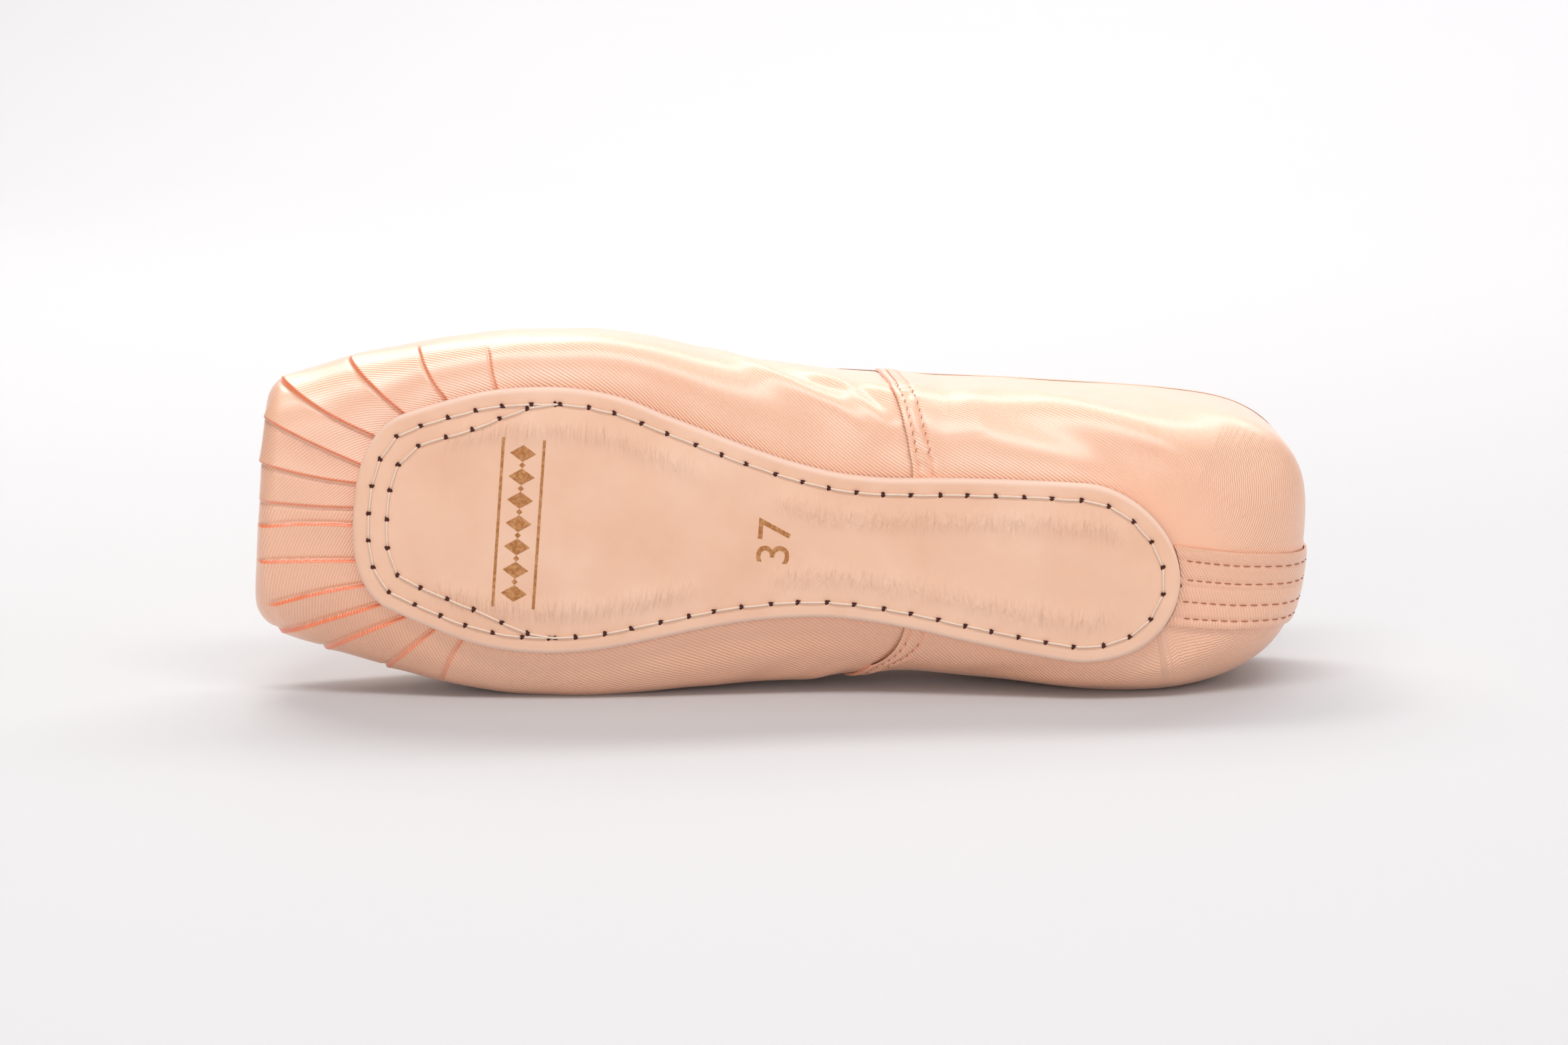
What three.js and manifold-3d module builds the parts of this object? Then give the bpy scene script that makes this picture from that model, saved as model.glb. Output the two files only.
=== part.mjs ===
// A pointe shoe lying on its side. Lengths are in millimetres.
//
// The shoe is shaped standing on its sole: x runs from the platform at the toe back to the heel,
// y runs across, positive towards the side that the shoe later lies on, and z runs up from the
// ground under the sole. Nested groups then lay it down, with the sole facing -Y.

import * as THREE from "three";
import { mergeVertices } from "three/addons/utils/BufferGeometryUtils.js";
import Module from "manifold-3d";

const wasm = await Module();
wasm.setup();

// ---------------------------------------------------------------- driving dimensions

const LENGTH = 237; // platform to the back of the heel
const PLATFORM_EDGE = 4; // rounding between the platform and the sides of the box
const SOLE_START = 21.8; // front end of the outsole
const SOLE_END = 207.3; // back end of the outsole
const SOLE_THICK = 2.5;
const SOLE_BEVEL = 0.9; // how far the ground face is set in from the edge
const GAP = 0.3; // between pieces that touch
const BINDING_THICK = 1.0;
const BINDING_DEPTH = 6; // how far the binding reaches down inside the collar
const BINDING_PROUD = 2; // how far it stands above the satin
const STRIP_PROUD = 1.3; // outer face of the heel strip over the upper
const STRIP_HALF = 9.2;
const STRIP_MIDDLE = 4.4; // how far its middle is from the long axis, towards the floor side
const INSOLE_THICK = 1.5;
const INSOLE_START = 11;
const INSOLE_END = 212;
const OPENING_MARGIN = 8; // rim of the upper left under the sole
const LIE_ANGLE = THREE.MathUtils.degToRad(4.38); // heel lower than the ball when it lies down
const REST_AT_TOE = 45.9; // how far the floor is from the long axis, at the platform
const PLACE_X = -118.1; // these two bring the middle of the shoe's box over the origin
const PLACE_Y = -30.9;

// Heel rounding: where it starts and how square it is, in plan, under the heel and at its back.
const HEEL_PLAN = { start: 187, power: 3.2 };
const HEEL_UNDER = { start: 189, power: 2 };
const HEEL_BACK = { start: 197, power: 4 };

// Cross-sections of the upper. at: distance from the platform. half: half the greatest width.
// sway: how far the middle lies off the long axis, away from the floor side. base: underside.
// wide: height of the greatest width. top: height of the crown, before the collar is cut.
// lowBend and highBend: how square the arcs below and above the greatest width are.
// wall: thickness of satin, canvas and paste.
const UPPER_ROWS = [
  { at: 0, half: 27.2, sway: -2.0, base: 6.0, wide: 17.5, top: 33, lowBend: 2.3, highBend: 2.6, wall: 3.0 },
  { at: 10, half: 30.9, sway: -1.9, base: 4.6, wide: 17.5, top: 37.5, lowBend: 2.3, highBend: 2.5, wall: 3.0 },
  { at: 20, half: 33.9, sway: -1.1, base: 3.7, wide: 17, top: 41.5, lowBend: 2.3, highBend: 2.4, wall: 3.0 },
  { at: 30, half: 36.4, sway: -0.8, base: 3.2, wide: 16, top: 45.5, lowBend: 2.4, highBend: 2.3, wall: 3.0 },
  { at: 45, half: 39.7, sway: -0.4, base: 2.8, wide: 15, top: 50, lowBend: 2.6, highBend: 2.3, wall: 2.8 },
  { at: 60, half: 41.4, sway: 0.0, base: 2.8, wide: 15, top: 54, lowBend: 2.6, highBend: 2.3, wall: 2.6 },
  { at: 75, half: 41.6, sway: 0.6, base: 2.8, wide: 15, top: 57, lowBend: 2.6, highBend: 2.3, wall: 2.4 },
  { at: 90, half: 39.8, sway: 0.8, base: 3.0, wide: 16, top: 60.5, lowBend: 2.6, highBend: 2.3, wall: 2.2 },
  { at: 105, half: 37.3, sway: 0.5, base: 3.6, wide: 17.5, top: 65, lowBend: 2.4, highBend: 2.4, wall: 2.0 },
  { at: 125, half: 34.9, sway: 0.8, base: 4.8, wide: 19, top: 74, lowBend: 2.3, highBend: 2.5, wall: 1.8 },
  { at: 145, half: 32.8, sway: 1.9, base: 5.4, wide: 21, top: 84, lowBend: 2.2, highBend: 2.7, wall: 1.6 },
  { at: 165, half: 32.9, sway: 2.0, base: 4.8, wide: 23, top: 92, lowBend: 2.2, highBend: 2.9, wall: 1.6 },
  { at: 185, half: 33.4, sway: 1.6, base: 3.6, wide: 24.5, top: 96, lowBend: 2.2, highBend: 3.0, wall: 1.6 },
  { at: 205, half: 33.2, sway: 1.9, base: 2.8, wide: 25, top: 96, lowBend: 2.2, highBend: 3.0, wall: 1.6 },
  { at: 222, half: 32.9, sway: 3.0, base: 2.8, wide: 25.5, top: 96, lowBend: 2.2, highBend: 3.0, wall: 1.6 },
  { at: 237, half: 32.4, sway: 3.8, base: 2.8, wide: 26, top: 96, lowBend: 2.2, highBend: 3.0, wall: 1.6 },
];

// The tread's outline before its ends are rounded, with the same meaning of half and sway.
const TREAD_ROWS = [
  { at: 0, half: 14.5, sway: -0.5 },
  { at: 12, half: 17.0, sway: -0.5 },
  { at: 22, half: 18.7, sway: -0.4 },
  { at: 30, half: 21.7, sway: 0.1 },
  { at: 40, half: 25.5, sway: 0.4 },
  { at: 50, half: 28.6, sway: 0.5 },
  { at: 60, half: 30.0, sway: 0.7 },
  { at: 70, half: 30.0, sway: 1.1 },
  { at: 80, half: 28.5, sway: 1.3 },
  { at: 90, half: 25.5, sway: 1.1 },
  { at: 100, half: 22.5, sway: 1.0 },
  { at: 110, half: 19.7, sway: 0.7 },
  { at: 120, half: 17.6, sway: 0.2 },
  { at: 130, half: 16.4, sway: -0.2 },
  { at: 140, half: 16.5, sway: -0.6 },
  { at: 150, half: 17.4, sway: -0.8 },
  { at: 160, half: 18.5, sway: -1.2 },
  { at: 170, half: 19.4, sway: -1.6 },
  { at: 180, half: 20.1, sway: -1.9 },
  { at: 190, half: 20.4, sway: -2.2 },
  { at: 208, half: 19.6, sway: -3.2 },
  { at: 222, half: 15.5, sway: -1.4 },
  { at: 237, half: 13.5, sway: 0.0 },
];
const TREAD_FRONT = { start: 32, power: 2.5 };
const TREAD_BACK = { start: 184, power: 2 };

// The topline in side view, from the throat over the vamp back to the heel.
const TOPLINE_ROWS = [
  { at: 86, height: 76 },
  { at: 90, height: 68 },
  { at: 94, height: 62.5 },
  { at: 100, height: 58 },
  { at: 108, height: 53.8 },
  { at: 120, height: 49.8 },
  { at: 135, height: 46.8 },
  { at: 150, height: 45.2 },
  { at: 170, height: 45 },
  { at: 190, height: 46.8 },
  { at: 210, height: 50 },
  { at: 225, height: 53 },
  { at: 237, height: 55.5 },
  { at: 250, height: 57.5 },
];

// ---------------------------------------------------------------- curves

// Smooth curve through one column of a table.
function column(rows, name) {
  const slope = (i) => {
    const a = rows[Math.max(i - 1, 0)];
    const b = rows[Math.min(i + 1, rows.length - 1)];
    return (b[name] - a[name]) / (b.at - a.at);
  };
  return (at) => {
    const x = THREE.MathUtils.clamp(at, rows[0].at, rows[rows.length - 1].at);
    const next = rows.findIndex((row, index) => index > 0 && row.at >= x);
    const a = rows[next - 1];
    const b = rows[next];
    const h = b.at - a.at;
    const t = (x - a.at) / h;
    const fromA = (2 * t ** 3 - 3 * t ** 2 + 1) * a[name] + (t ** 3 - 2 * t ** 2 + t) * h * slope(next - 1);
    const fromB = (3 * t ** 2 - 2 * t ** 3) * b[name] + (t ** 3 - t ** 2) * h * slope(next);
    return fromA + fromB;
  };
}

const UPPER = {};
for (const name of ["half", "sway", "base", "wide", "top", "lowBend", "highBend", "wall"]) {
  UPPER[name] = column(UPPER_ROWS, name);
}
const TREAD = { half: column(TREAD_ROWS, "half"), sway: column(TREAD_ROWS, "sway") };
const topline = column(TOPLINE_ROWS, "height");

// Falls from 1 at the start of a rounding to 0 at its end, along a superellipse.
function roundOff(at, { start, power }, end) {
  const s = THREE.MathUtils.clamp((at - start) / (end - start), 0, 1);
  return (1 - s ** power) ** (1 / power);
}

function treadHalf(at) {
  return TREAD.half(at) * roundOff(at, TREAD_BACK, SOLE_END) * roundOff(at, TREAD_FRONT, SOLE_START);
}

// ---------------------------------------------------------------- the last's sections

// Sizes of the cross-section at a station, set in by a distance all round (out where negative).
function sectionSizes(at, inset) {
  const end = LENGTH - inset;
  const under = roundOff(at, HEEL_UNDER, end);
  const back = roundOff(at, HEEL_BACK, end);
  const intoEdge = THREE.MathUtils.clamp(PLATFORM_EDGE - (at - inset), 0, PLATFORM_EDGE);
  const edge = PLATFORM_EDGE - Math.sqrt(PLATFORM_EDGE ** 2 - intoEdge ** 2);
  const half = Math.max((UPPER.half(at) - inset) * roundOff(at, HEEL_PLAN, end) - edge, 0);
  const wide = UPPER.wide(at);
  return {
    half,
    wide,
    base: wide - (wide - UPPER.base(at) - inset) * under + edge,
    top: wide + (UPPER.top(at) - wide - inset) * back - edge,
    flat: Math.min(TREAD.half(at) - 1.5, 0.8 * half) * under,
    sway: UPPER.sway(at),
    flatSway: THREE.MathUtils.lerp(UPPER.sway(at), TREAD.sway(at), Math.min(half / 16, 1)),
  };
}

// Where the floor presses the side of the shoe flat.
function floorSide(at, inset) {
  return REST_AT_TOE - at * Math.tan(LIE_ANGLE) - inset;
}

// A point of the section. turn: -1 at the edge of the flat underside, 0 at the greatest width,
// 1 at the crown. side: 1 towards the floor side, -1 away from it.
function sectionPoint(at, turn, side, inset) {
  const size = sectionSizes(at, inset);
  const angle = (turn * Math.PI) / 2;
  const outer = side * size.half - size.sway;
  const inner = turn < 0 ? side * size.flat - size.flatSway : -size.sway;
  const bend = turn < 0 ? UPPER.lowBend(at) : UPPER.highBend(at);
  const rise = turn < 0 ? size.base - size.wide : size.top - size.wide;
  const across = Math.max(Math.cos(angle), 0) ** (2 / bend);
  const up = Math.abs(Math.sin(angle)) ** (2 / bend);
  const y = inner + (outer - inner) * across;
  return new THREE.Vector3(at, Math.min(y, floorSide(at, inset)), size.wide + rise * up);
}

// ---------------------------------------------------------------- closed meshes

// A closed surface through rings of points, each ring running the same way round, with a point
// in the middle of each end.
function loft(rings) {
  const positions = rings.flat().flatMap((p) => [p.x, p.y, p.z]);
  const count = rings[0].length;
  const index = [];
  for (let i = 0; i + 1 < rings.length; i += 1) {
    for (let j = 0; j < count; j += 1) {
      const a = i * count + j;
      const b = i * count + ((j + 1) % count);
      index.push(a, b, a + count, b, b + count, a + count);
    }
  }
  for (const [ring, last] of [[0, false], [rings.length - 1, true]]) {
    const middle = new THREE.Vector3();
    rings[ring].forEach((p) => middle.addScaledVector(p, 1 / count));
    const centre = positions.length / 3;
    positions.push(middle.x, middle.y, middle.z);
    for (let j = 0; j < count; j += 1) {
      const a = ring * count + j;
      const b = ring * count + ((j + 1) % count);
      index.push(...(last ? [a, b, centre] : [b, a, centre]));
    }
  }
  const geometry = new THREE.BufferGeometry();
  geometry.setAttribute("position", new THREE.Float32BufferAttribute(positions, 3));
  geometry.setIndex(index);
  return geometry;
}

function solid(geometry) {
  const bare = geometry.clone();
  bare.deleteAttribute("normal");
  bare.deleteAttribute("uv");
  const merged = mergeVertices(bare, 1e-4);
  const vertProperties = Float32Array.from(merged.attributes.position.array);
  const triVerts = Uint32Array.from(merged.index.array);
  return new wasm.Manifold(new wasm.Mesh({ numProp: 3, vertProperties, triVerts }));
}

function geometryOf(manifold) {
  const mesh = manifold.getMesh();
  const geometry = new THREE.BufferGeometry();
  geometry.setAttribute("position", new THREE.Float32BufferAttribute(mesh.vertProperties, 3));
  geometry.setIndex(Array.from(mesh.triVerts));
  geometry.computeVertexNormals();
  return geometry;
}

// Stations from the platform's edge to the tip of the heel, close together where it is round.
function stations(inset) {
  const list = [0, 0.4, 1.3, 2.6, 4].map((step) => inset + step);
  const middle = 24;
  for (let i = 1; i <= middle; i += 1) {
    list.push(inset + 4 + ((HEEL_PLAN.start - inset - 4) * i) / middle);
  }
  const heel = 13;
  for (let i = 1; i < heel; i += 1) {
    const reach = Math.sin(((i / heel) * Math.PI) / 2);
    list.push(HEEL_PLAN.start + (LENGTH - inset - HEEL_PLAN.start) * reach);
  }
  list.push(LENGTH - inset - 0.02);
  return list;
}

// Where the sections have points, as turns from the greatest width: closer where it lies down.
const TURNS = [0, 0.06, 0.14, 0.24, 0.36, 0.5, 0.64, 0.78, 0.9, 1];

// The form of the last, set in by the wall times a share plus a fixed distance.
function lastForm(wallShare, extra) {
  const turns = [...TURNS.slice(1).reverse().map((turn) => -turn), ...TURNS];
  const endInset = wallShare * UPPER.wall(0) + extra;
  return solid(loft(stations(endInset).map((at) => {
    const inset = wallShare * UPPER.wall(at) + extra;
    const limited = Math.min(at, LENGTH - inset - 0.02);
    const floorSideArc = turns.map((turn) => sectionPoint(limited, turn, 1, inset));
    const otherArc = turns.slice(0, -1).map((turn) => sectionPoint(limited, turn, -1, inset));
    return [...floorSideArc, ...otherArc.reverse()];
  })));
}

// A flat outline in side view, pushed through the whole width of the shoe.
function throughWidth(outline) {
  const shape = new THREE.Shape(outline.map(([x, z]) => new THREE.Vector2(x, z)));
  const geometry = new THREE.ExtrudeGeometry(shape, { depth: 120, bevelEnabled: false, steps: 1 });
  geometry.rotateX(Math.PI / 2);
  geometry.translate(0, 60, 0);
  return solid(geometry);
}

function toplinePoints(shift) {
  const first = TOPLINE_ROWS[0].at;
  const last = TOPLINE_ROWS[TOPLINE_ROWS.length - 1].at;
  const count = 44;
  return Array.from({ length: count + 1 }, (_, i) => {
    const at = first + ((last - first) * i) / count;
    return [at, topline(at) + shift];
  });
}

// Everything above the topline.
function aboveTopline() {
  const points = toplinePoints(0);
  const ceiling = 130;
  return throughWidth([...points, [points[points.length - 1][0], ceiling], [points[0][0], ceiling]]);
}

// A slab with the tread's outline that follows the underside of the upper. Its low and high
// faces are given as heights over that underside, its edge as growth over the outline.
function treadForm({ from, to, half, low, high, bevel }) {
  const count = 40;
  const rings = [];
  for (let i = 0; i <= count; i += 1) {
    const share = (1 - Math.cos((Math.PI * i) / count)) / 2;
    const at = from + 0.02 + (to - from - 0.04) * share;
    const y = Math.max(half(at), 0.05);
    const foot = Math.max(y - bevel, 0.04);
    const middle = -TREAD.sway(at);
    const under = low(at);
    const over = high(at);
    const ring = [
      [y, over],
      [y, under + bevel * 0.8],
      [foot, under],
      [-foot, under],
      [-y, under + bevel * 0.8],
      [-y, over],
    ];
    rings.push(ring.map(([side, z]) => new THREE.Vector3(at, middle + side, z)).reverse());
  }
  return solid(loft(rings));
}

// ---------------------------------------------------------------- pieces

const outerForm = lastForm(0, 0);
const innerForm = lastForm(1, 0);
const collarCut = aboveTopline();

function upper() {
  const opening = treadForm({
    from: SOLE_START + OPENING_MARGIN,
    to: SOLE_END - OPENING_MARGIN,
    half: (at) => treadHalf(at) - OPENING_MARGIN * roundOff(at, { start: 40, power: 2 }, 22) - 0.5,
    low: () => -5,
    high: () => 12,
    bevel: 0,
  });
  return outerForm.subtract(innerForm).subtract(collarCut).subtract(opening);
}

function outsole() {
  const under = (at) => sectionSizes(at, 0).base - GAP;
  return treadForm({
    from: SOLE_START,
    to: SOLE_END,
    half: treadHalf,
    low: (at) => under(at) - SOLE_THICK,
    high: under,
    bevel: SOLE_BEVEL,
  });
}

function insole() {
  const floor = (at) => sectionSizes(at, UPPER.wall(at)).base + GAP;
  const ends = (at) => roundOff(at, { start: 190, power: 2 }, INSOLE_END)
    * roundOff(at, { start: 20, power: 3 }, INSOLE_START);
  return treadForm({
    from: INSOLE_START,
    to: INSOLE_END,
    half: (at) => (sectionSizes(at, UPPER.wall(at)).flat - 0.8) * ends(at),
    low: floor,
    high: (at) => floor(at) + INSOLE_THICK,
    bevel: 0,
  });
}

function collarBinding() {
  const lower = toplinePoints(-BINDING_DEPTH);
  const higher = toplinePoints(BINDING_PROUD);
  const band = throughWidth([...lower, ...higher.reverse()]);
  return lastForm(1, GAP).subtract(lastForm(1, GAP + BINDING_THICK)).intersect(band);
}

function heelStrip() {
  const band = new THREE.BoxGeometry(50, 2 * STRIP_HALF, 80);
  band.translate(SOLE_END - 6 + 25, STRIP_MIDDLE, 38);
  const pastSole = treadForm({
    from: SOLE_START,
    to: SOLE_END + GAP,
    half: (at) => treadHalf(at - GAP) + GAP,
    low: () => -5,
    high: () => 14,
    bevel: 0,
  });
  const skin = lastForm(0, -STRIP_PROUD).subtract(lastForm(0, -GAP));
  return skin.intersect(solid(band)).subtract(pastSole).subtract(collarCut);
}

// ---------------------------------------------------------------- the shoe

const satin = { color: 0xefb69b, roughness: 0.38, metalness: 0 };
const PIECES = [
  { name: "upper", make: upper, finish: satin },
  { name: "outsole", make: outsole, finish: { color: 0xe3b9a0, roughness: 0.6, metalness: 0 } },
  { name: "insole", make: insole, finish: { color: 0xe6cdb8, roughness: 0.85, metalness: 0 } },
  { name: "collar_binding", make: collarBinding, finish: { color: 0xf0bfa6, roughness: 0.6, metalness: 0 } },
  { name: "heel_strip", make: heelStrip, finish: satin },
];

const standing = new THREE.Group();
for (const { name, make, finish } of PIECES) {
  const mesh = new THREE.Mesh(geometryOf(make()), new THREE.MeshStandardMaterial(finish));
  mesh.name = name;
  standing.add(mesh);
}
standing.rotation.x = -Math.PI / 2; // onto its side, sole facing -Y

const lying = new THREE.Group();
lying.add(standing);
lying.rotation.y = LIE_ANGLE; // down onto ball and heel
lying.position.set(PLACE_X, PLACE_Y, REST_AT_TOE * Math.cos(LIE_ANGLE));

const group = new THREE.Group();
group.add(lying);

export default group;
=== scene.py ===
"""A satin pointe shoe lying on its side: pleated vamp, seamed quarters, stitched leather sole,
ribbed collar and a heel strip. Shapes are worked out in the shoe's own millimetres, standing on
its sole: x from the platform back to the heel, v across (positive away from the floor side), z up.
`laid` then turns them into the lying frame, in metres."""

import itertools
import math
import random
from contextlib import contextmanager

import bpy
import numpy as np
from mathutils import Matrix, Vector
from mathutils.bvhtree import BVHTree


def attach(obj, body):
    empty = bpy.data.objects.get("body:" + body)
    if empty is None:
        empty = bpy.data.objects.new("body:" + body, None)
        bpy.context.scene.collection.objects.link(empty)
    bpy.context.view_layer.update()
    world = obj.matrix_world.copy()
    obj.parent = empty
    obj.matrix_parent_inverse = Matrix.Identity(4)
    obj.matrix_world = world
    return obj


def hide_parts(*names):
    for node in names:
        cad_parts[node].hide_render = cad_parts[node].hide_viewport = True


bl_info = {
    "name": "Pointe shoe",
    "version": (1, 0, 0),
    "blender": (4, 5, 0),
    "location": "View3D > Sidebar > Pointe shoe",
    "description": "A satin pointe shoe lying on its side on a pale floor",
    "category": "Object",
}

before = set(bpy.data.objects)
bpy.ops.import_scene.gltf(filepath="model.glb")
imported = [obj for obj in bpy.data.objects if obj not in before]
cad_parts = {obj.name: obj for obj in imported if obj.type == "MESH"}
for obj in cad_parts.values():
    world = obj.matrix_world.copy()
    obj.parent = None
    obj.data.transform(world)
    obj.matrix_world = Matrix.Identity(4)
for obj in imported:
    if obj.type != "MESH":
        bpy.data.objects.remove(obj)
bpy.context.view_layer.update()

# ------------------------------------------------------------------ the last, in millimetres

LENGTH = 237.0
PLATFORM_EDGE = 4.0  # rounding of the platform's edge
SOLE_START, SOLE_END = 21.8, 207.3
SOLE_THICK = 2.5
GAP = 0.3  # between the upper and the soles on either side of its wall
LIE_ANGLE = math.radians(4.38)  # slope of the shoe's long axis as it lies
REST_AT_TOE = 45.9  # from the middle to the floor, at the platform
PLACE_X, PLACE_Y = -118.1, -30.9
TOE_AXIS, HEEL_AXIS = 60.0, 200.0  # upright axes that the toe's and heel's columns fan out from
FLOOR_SIDE, AWAY_SIDE = math.pi / 2, -math.pi / 2  # plan directions towards the floor and away
HALVINGS = 27  # steps in which a ray closes in on the last's surface

# at, half, sway, base, wide, top, low bend, high bend, wall
UPPER_ROWS = (
    (0, 27.2, -2.0, 6.0, 17.5, 33, 2.3, 2.6, 3.0),
    (10, 30.9, -1.9, 4.6, 17.5, 37.5, 2.3, 2.5, 3.0),
    (20, 33.9, -1.1, 3.7, 17, 41.5, 2.3, 2.4, 3.0),
    (30, 36.4, -0.8, 3.2, 16, 45.5, 2.4, 2.3, 3.0),
    (45, 39.7, -0.4, 2.8, 15, 50, 2.6, 2.3, 2.8),
    (60, 41.4, 0.0, 2.8, 15, 54, 2.6, 2.3, 2.6),
    (75, 41.6, 0.6, 2.8, 15, 57, 2.6, 2.3, 2.4),
    (90, 39.8, 0.8, 3.0, 16, 60.5, 2.6, 2.3, 2.2),
    (105, 37.3, 0.5, 3.6, 17.5, 65, 2.4, 2.4, 2.0),
    (125, 34.9, 0.8, 4.8, 19, 74, 2.3, 2.5, 1.8),
    (145, 32.8, 1.9, 5.4, 21, 84, 2.2, 2.7, 1.6),
    (165, 32.9, 2.0, 4.8, 23, 92, 2.2, 2.9, 1.6),
    (185, 33.4, 1.6, 3.6, 24.5, 96, 2.2, 3.0, 1.6),
    (205, 33.2, 1.9, 2.8, 25, 96, 2.2, 3.0, 1.6),
    (222, 32.9, 3.0, 2.8, 25.5, 96, 2.2, 3.0, 1.6),
    (237, 32.4, 3.8, 2.8, 26, 96, 2.2, 3.0, 1.6),
)
# at, half, sway
TREAD_ROWS = (
    (0, 14.5, -0.5), (12, 17.0, -0.5), (22, 18.7, -0.4), (30, 21.7, 0.1), (40, 25.5, 0.4),
    (50, 28.6, 0.5), (60, 30.0, 0.7), (70, 30.0, 1.1), (80, 28.5, 1.3), (90, 25.5, 1.1),
    (100, 22.5, 1.0), (110, 19.7, 0.7), (120, 17.6, 0.2), (130, 16.4, -0.2), (140, 16.5, -0.6),
    (150, 17.4, -0.8), (160, 18.5, -1.2), (170, 19.4, -1.6), (180, 20.1, -1.9),
    (190, 20.4, -2.2), (208, 19.6, -3.2), (222, 15.5, -1.4), (237, 13.5, 0.0),
)
# at, height
TOPLINE_ROWS = (
    (86, 76), (90, 68), (94, 62.5), (100, 58), (108, 53.8), (120, 49.8), (135, 46.8),
    (150, 45.2), (170, 45), (190, 46.8), (210, 50), (225, 53), (237, 55.5), (250, 57.5),
)
# The side seam, height and distance from the platform, on the upper side and on the floor side.
SEAM_AWAY = (
    (5, 146.4), (6, 144.6), (8, 143.0), (10.8, 141.7), (16.4, 139.6), (30, 138), (50, 136.5),
)
SEAM_FLOOR = (
    (5, 147.4), (5.5, 146.6), (7.4, 144.1), (10.9, 139.6), (19, 134.5), (30, 131), (50, 127),
)
SEAM_ROWS = (1.7, 4.6)  # the two stitch rows, behind the folded edge
SEAM_PITCH = 2.0

# Pleat folds at the toe: inner x, v at the sole's edge; outer x, v; height of the outer end; lift.
FOLDS = (
    (51.8, 30.0, 49.8, 36.4, 4.8, 0.40),
    (40.6, 26.7, 34.1, 35.2, 9.0, 0.70),
    (31.6, 22.5, 18.4, 31.6, 12.5, 0.90),
    (24.9, 17.0, 3.0, 26.0, 13.0, 1.00),
    (22.5, 10.2, 1.2, 17.8, 7.7, 0.95),
    (22.2, 5.7, 0.5, 8.0, 8.0, 0.75),
    (21.9, 0.1, 1.1, -0.6, 7.2, 0.55),
    (21.8, -3.7, 1.8, -5.9, 6.5, 0.80),
    (22.9, -11.7, 2.6, -13.9, 5.9, 0.85),
    (25.3, -17.0, 5.6, -23.3, 6.5, 0.85),
    (29.9, -20.7, 6.5, -30.6, 12.6, 0.85),
    (35.3, -23.2, 16.6, -33.6, 12.7, 0.75),
    (41.5, -25.9, 30.7, -36.7, 11.5, 0.60),
    (48.0, -27.8, 44.0, -37.3, 6.7, 0.40),
)
UPPER_FOLDS = 7  # these lap away from the middle on the upper side, the rest on the floor side
LAP_EDGE, LAP_RUN = 0.32, 5.5  # how sharply a lap rises, and how far back it falls away
GROOVE_DEEP, GROOVE_WIDE = 0.35, 0.34
END_PANEL = 6.0  # width given to the cloth beyond the first and the last fold

# Soft creases: lift in millimetres, width, then points x, v, z along the crest.
VAMP_CREASES = (
    (0.95, 3.2, (100, 38.5, 27), (107, 37.4, 17), (113, 35.6, 12), (120, 33.2, 10),
     (128, 30.1, 8.7), (135, 25.6, 7)),
    (-1.0, 2.8, (105, 38, 28), (112, 37, 19), (121, 35.4, 14.5), (131, 33.6, 13),
     (138, 31.4, 11.5)),
    (0.8, 2.4, (118, 35.7, 22), (127, 34.4, 16.5), (134, 31.5, 11), (139, 26.5, 8)),
    (-0.65, 2.2, (128, 34.2, 22), (134, 33.3, 15), (139.5, 30, 10.3)),
    (0.35, 2.0, (120, -32.5, 20), (128, -32, 14), (135, -29, 10)),
    (-0.35, 2.5, (108, -34, 14), (118, -31.5, 9.5), (126, -27, 7)),
    (0.30, 5.0, (62, 38.5, 8), (80, 37.5, 8), (98, 32.5, 7.5)),
)
QUARTER_CREASES = (
    (0.9, 5.5, (166, 35, 26), (176, 34.2, 18), (188, 32, 12.5), (200, 27, 9.5), (212, 19, 9),
     (222, 12, 11)),
    (-0.9, 4.5, (160, 31, 11.5), (172, 29, 9.5), (184, 26, 7.5), (196, 20.5, 5.6), (206, 13, 5.5)),
    (-0.8, 6.0, (176, 35.4, 33), (190, 34.9, 26), (204, 33, 20), (216, 28, 17), (227, 19, 18)),
    (-0.55, 3.2, (151, 34.4, 26), (152, 32, 14), (153.5, 26, 8)),
    (0.40, 3.0, (158, 34.6, 24), (159, 32, 13), (160, 26, 7.6)),
    (0.45, 3.5, (170, -30.5, 10), (185, -29, 7.5), (200, -24, 6)),
    (-0.35, 3.0, (160, -30, 10.5), (172, -27, 7), (186, -23, 5)),
)


def curve_of(rows, index):
    """A smooth curve through one column of a table."""
    at = np.array([row[0] for row in rows], float)
    value = np.array([row[index] for row in rows], float)
    number = np.arange(len(at))
    before, after = np.maximum(number - 1, 0), np.minimum(number + 1, len(at) - 1)
    slope = (value[after] - value[before]) / (at[after] - at[before])
    x = np.linspace(at[0], at[-1], 2400)
    k = np.clip(np.searchsorted(at, x), 1, len(at) - 1)
    h = at[k] - at[k - 1]
    t = (x - at[k - 1]) / h
    fine = (2 * t**3 - 3 * t**2 + 1) * value[k - 1] + (t**3 - 2 * t**2 + t) * h * slope[k - 1]
    fine += (3 * t**2 - 2 * t**3) * value[k] + (t**3 - t**2) * h * slope[k]
    return lambda place: np.interp(place, x, fine)


HALF, SWAY, BASE, WIDE, TOP, LOW_BEND, HIGH_BEND, WALL = (
    curve_of(UPPER_ROWS, column) for column in range(1, 9)
)
TREAD_HALF, TREAD_SWAY = (curve_of(TREAD_ROWS, column) for column in (1, 2))
TOPLINE = curve_of(TOPLINE_ROWS, 1)


def round_off(at, start, power, end):
    """Falls from 1 at start to 0 at end, the rounder the higher the power."""
    s = np.clip((at - start) / (end - start), 0, 1)
    return (1 - s**power) ** (1 / power)


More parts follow.
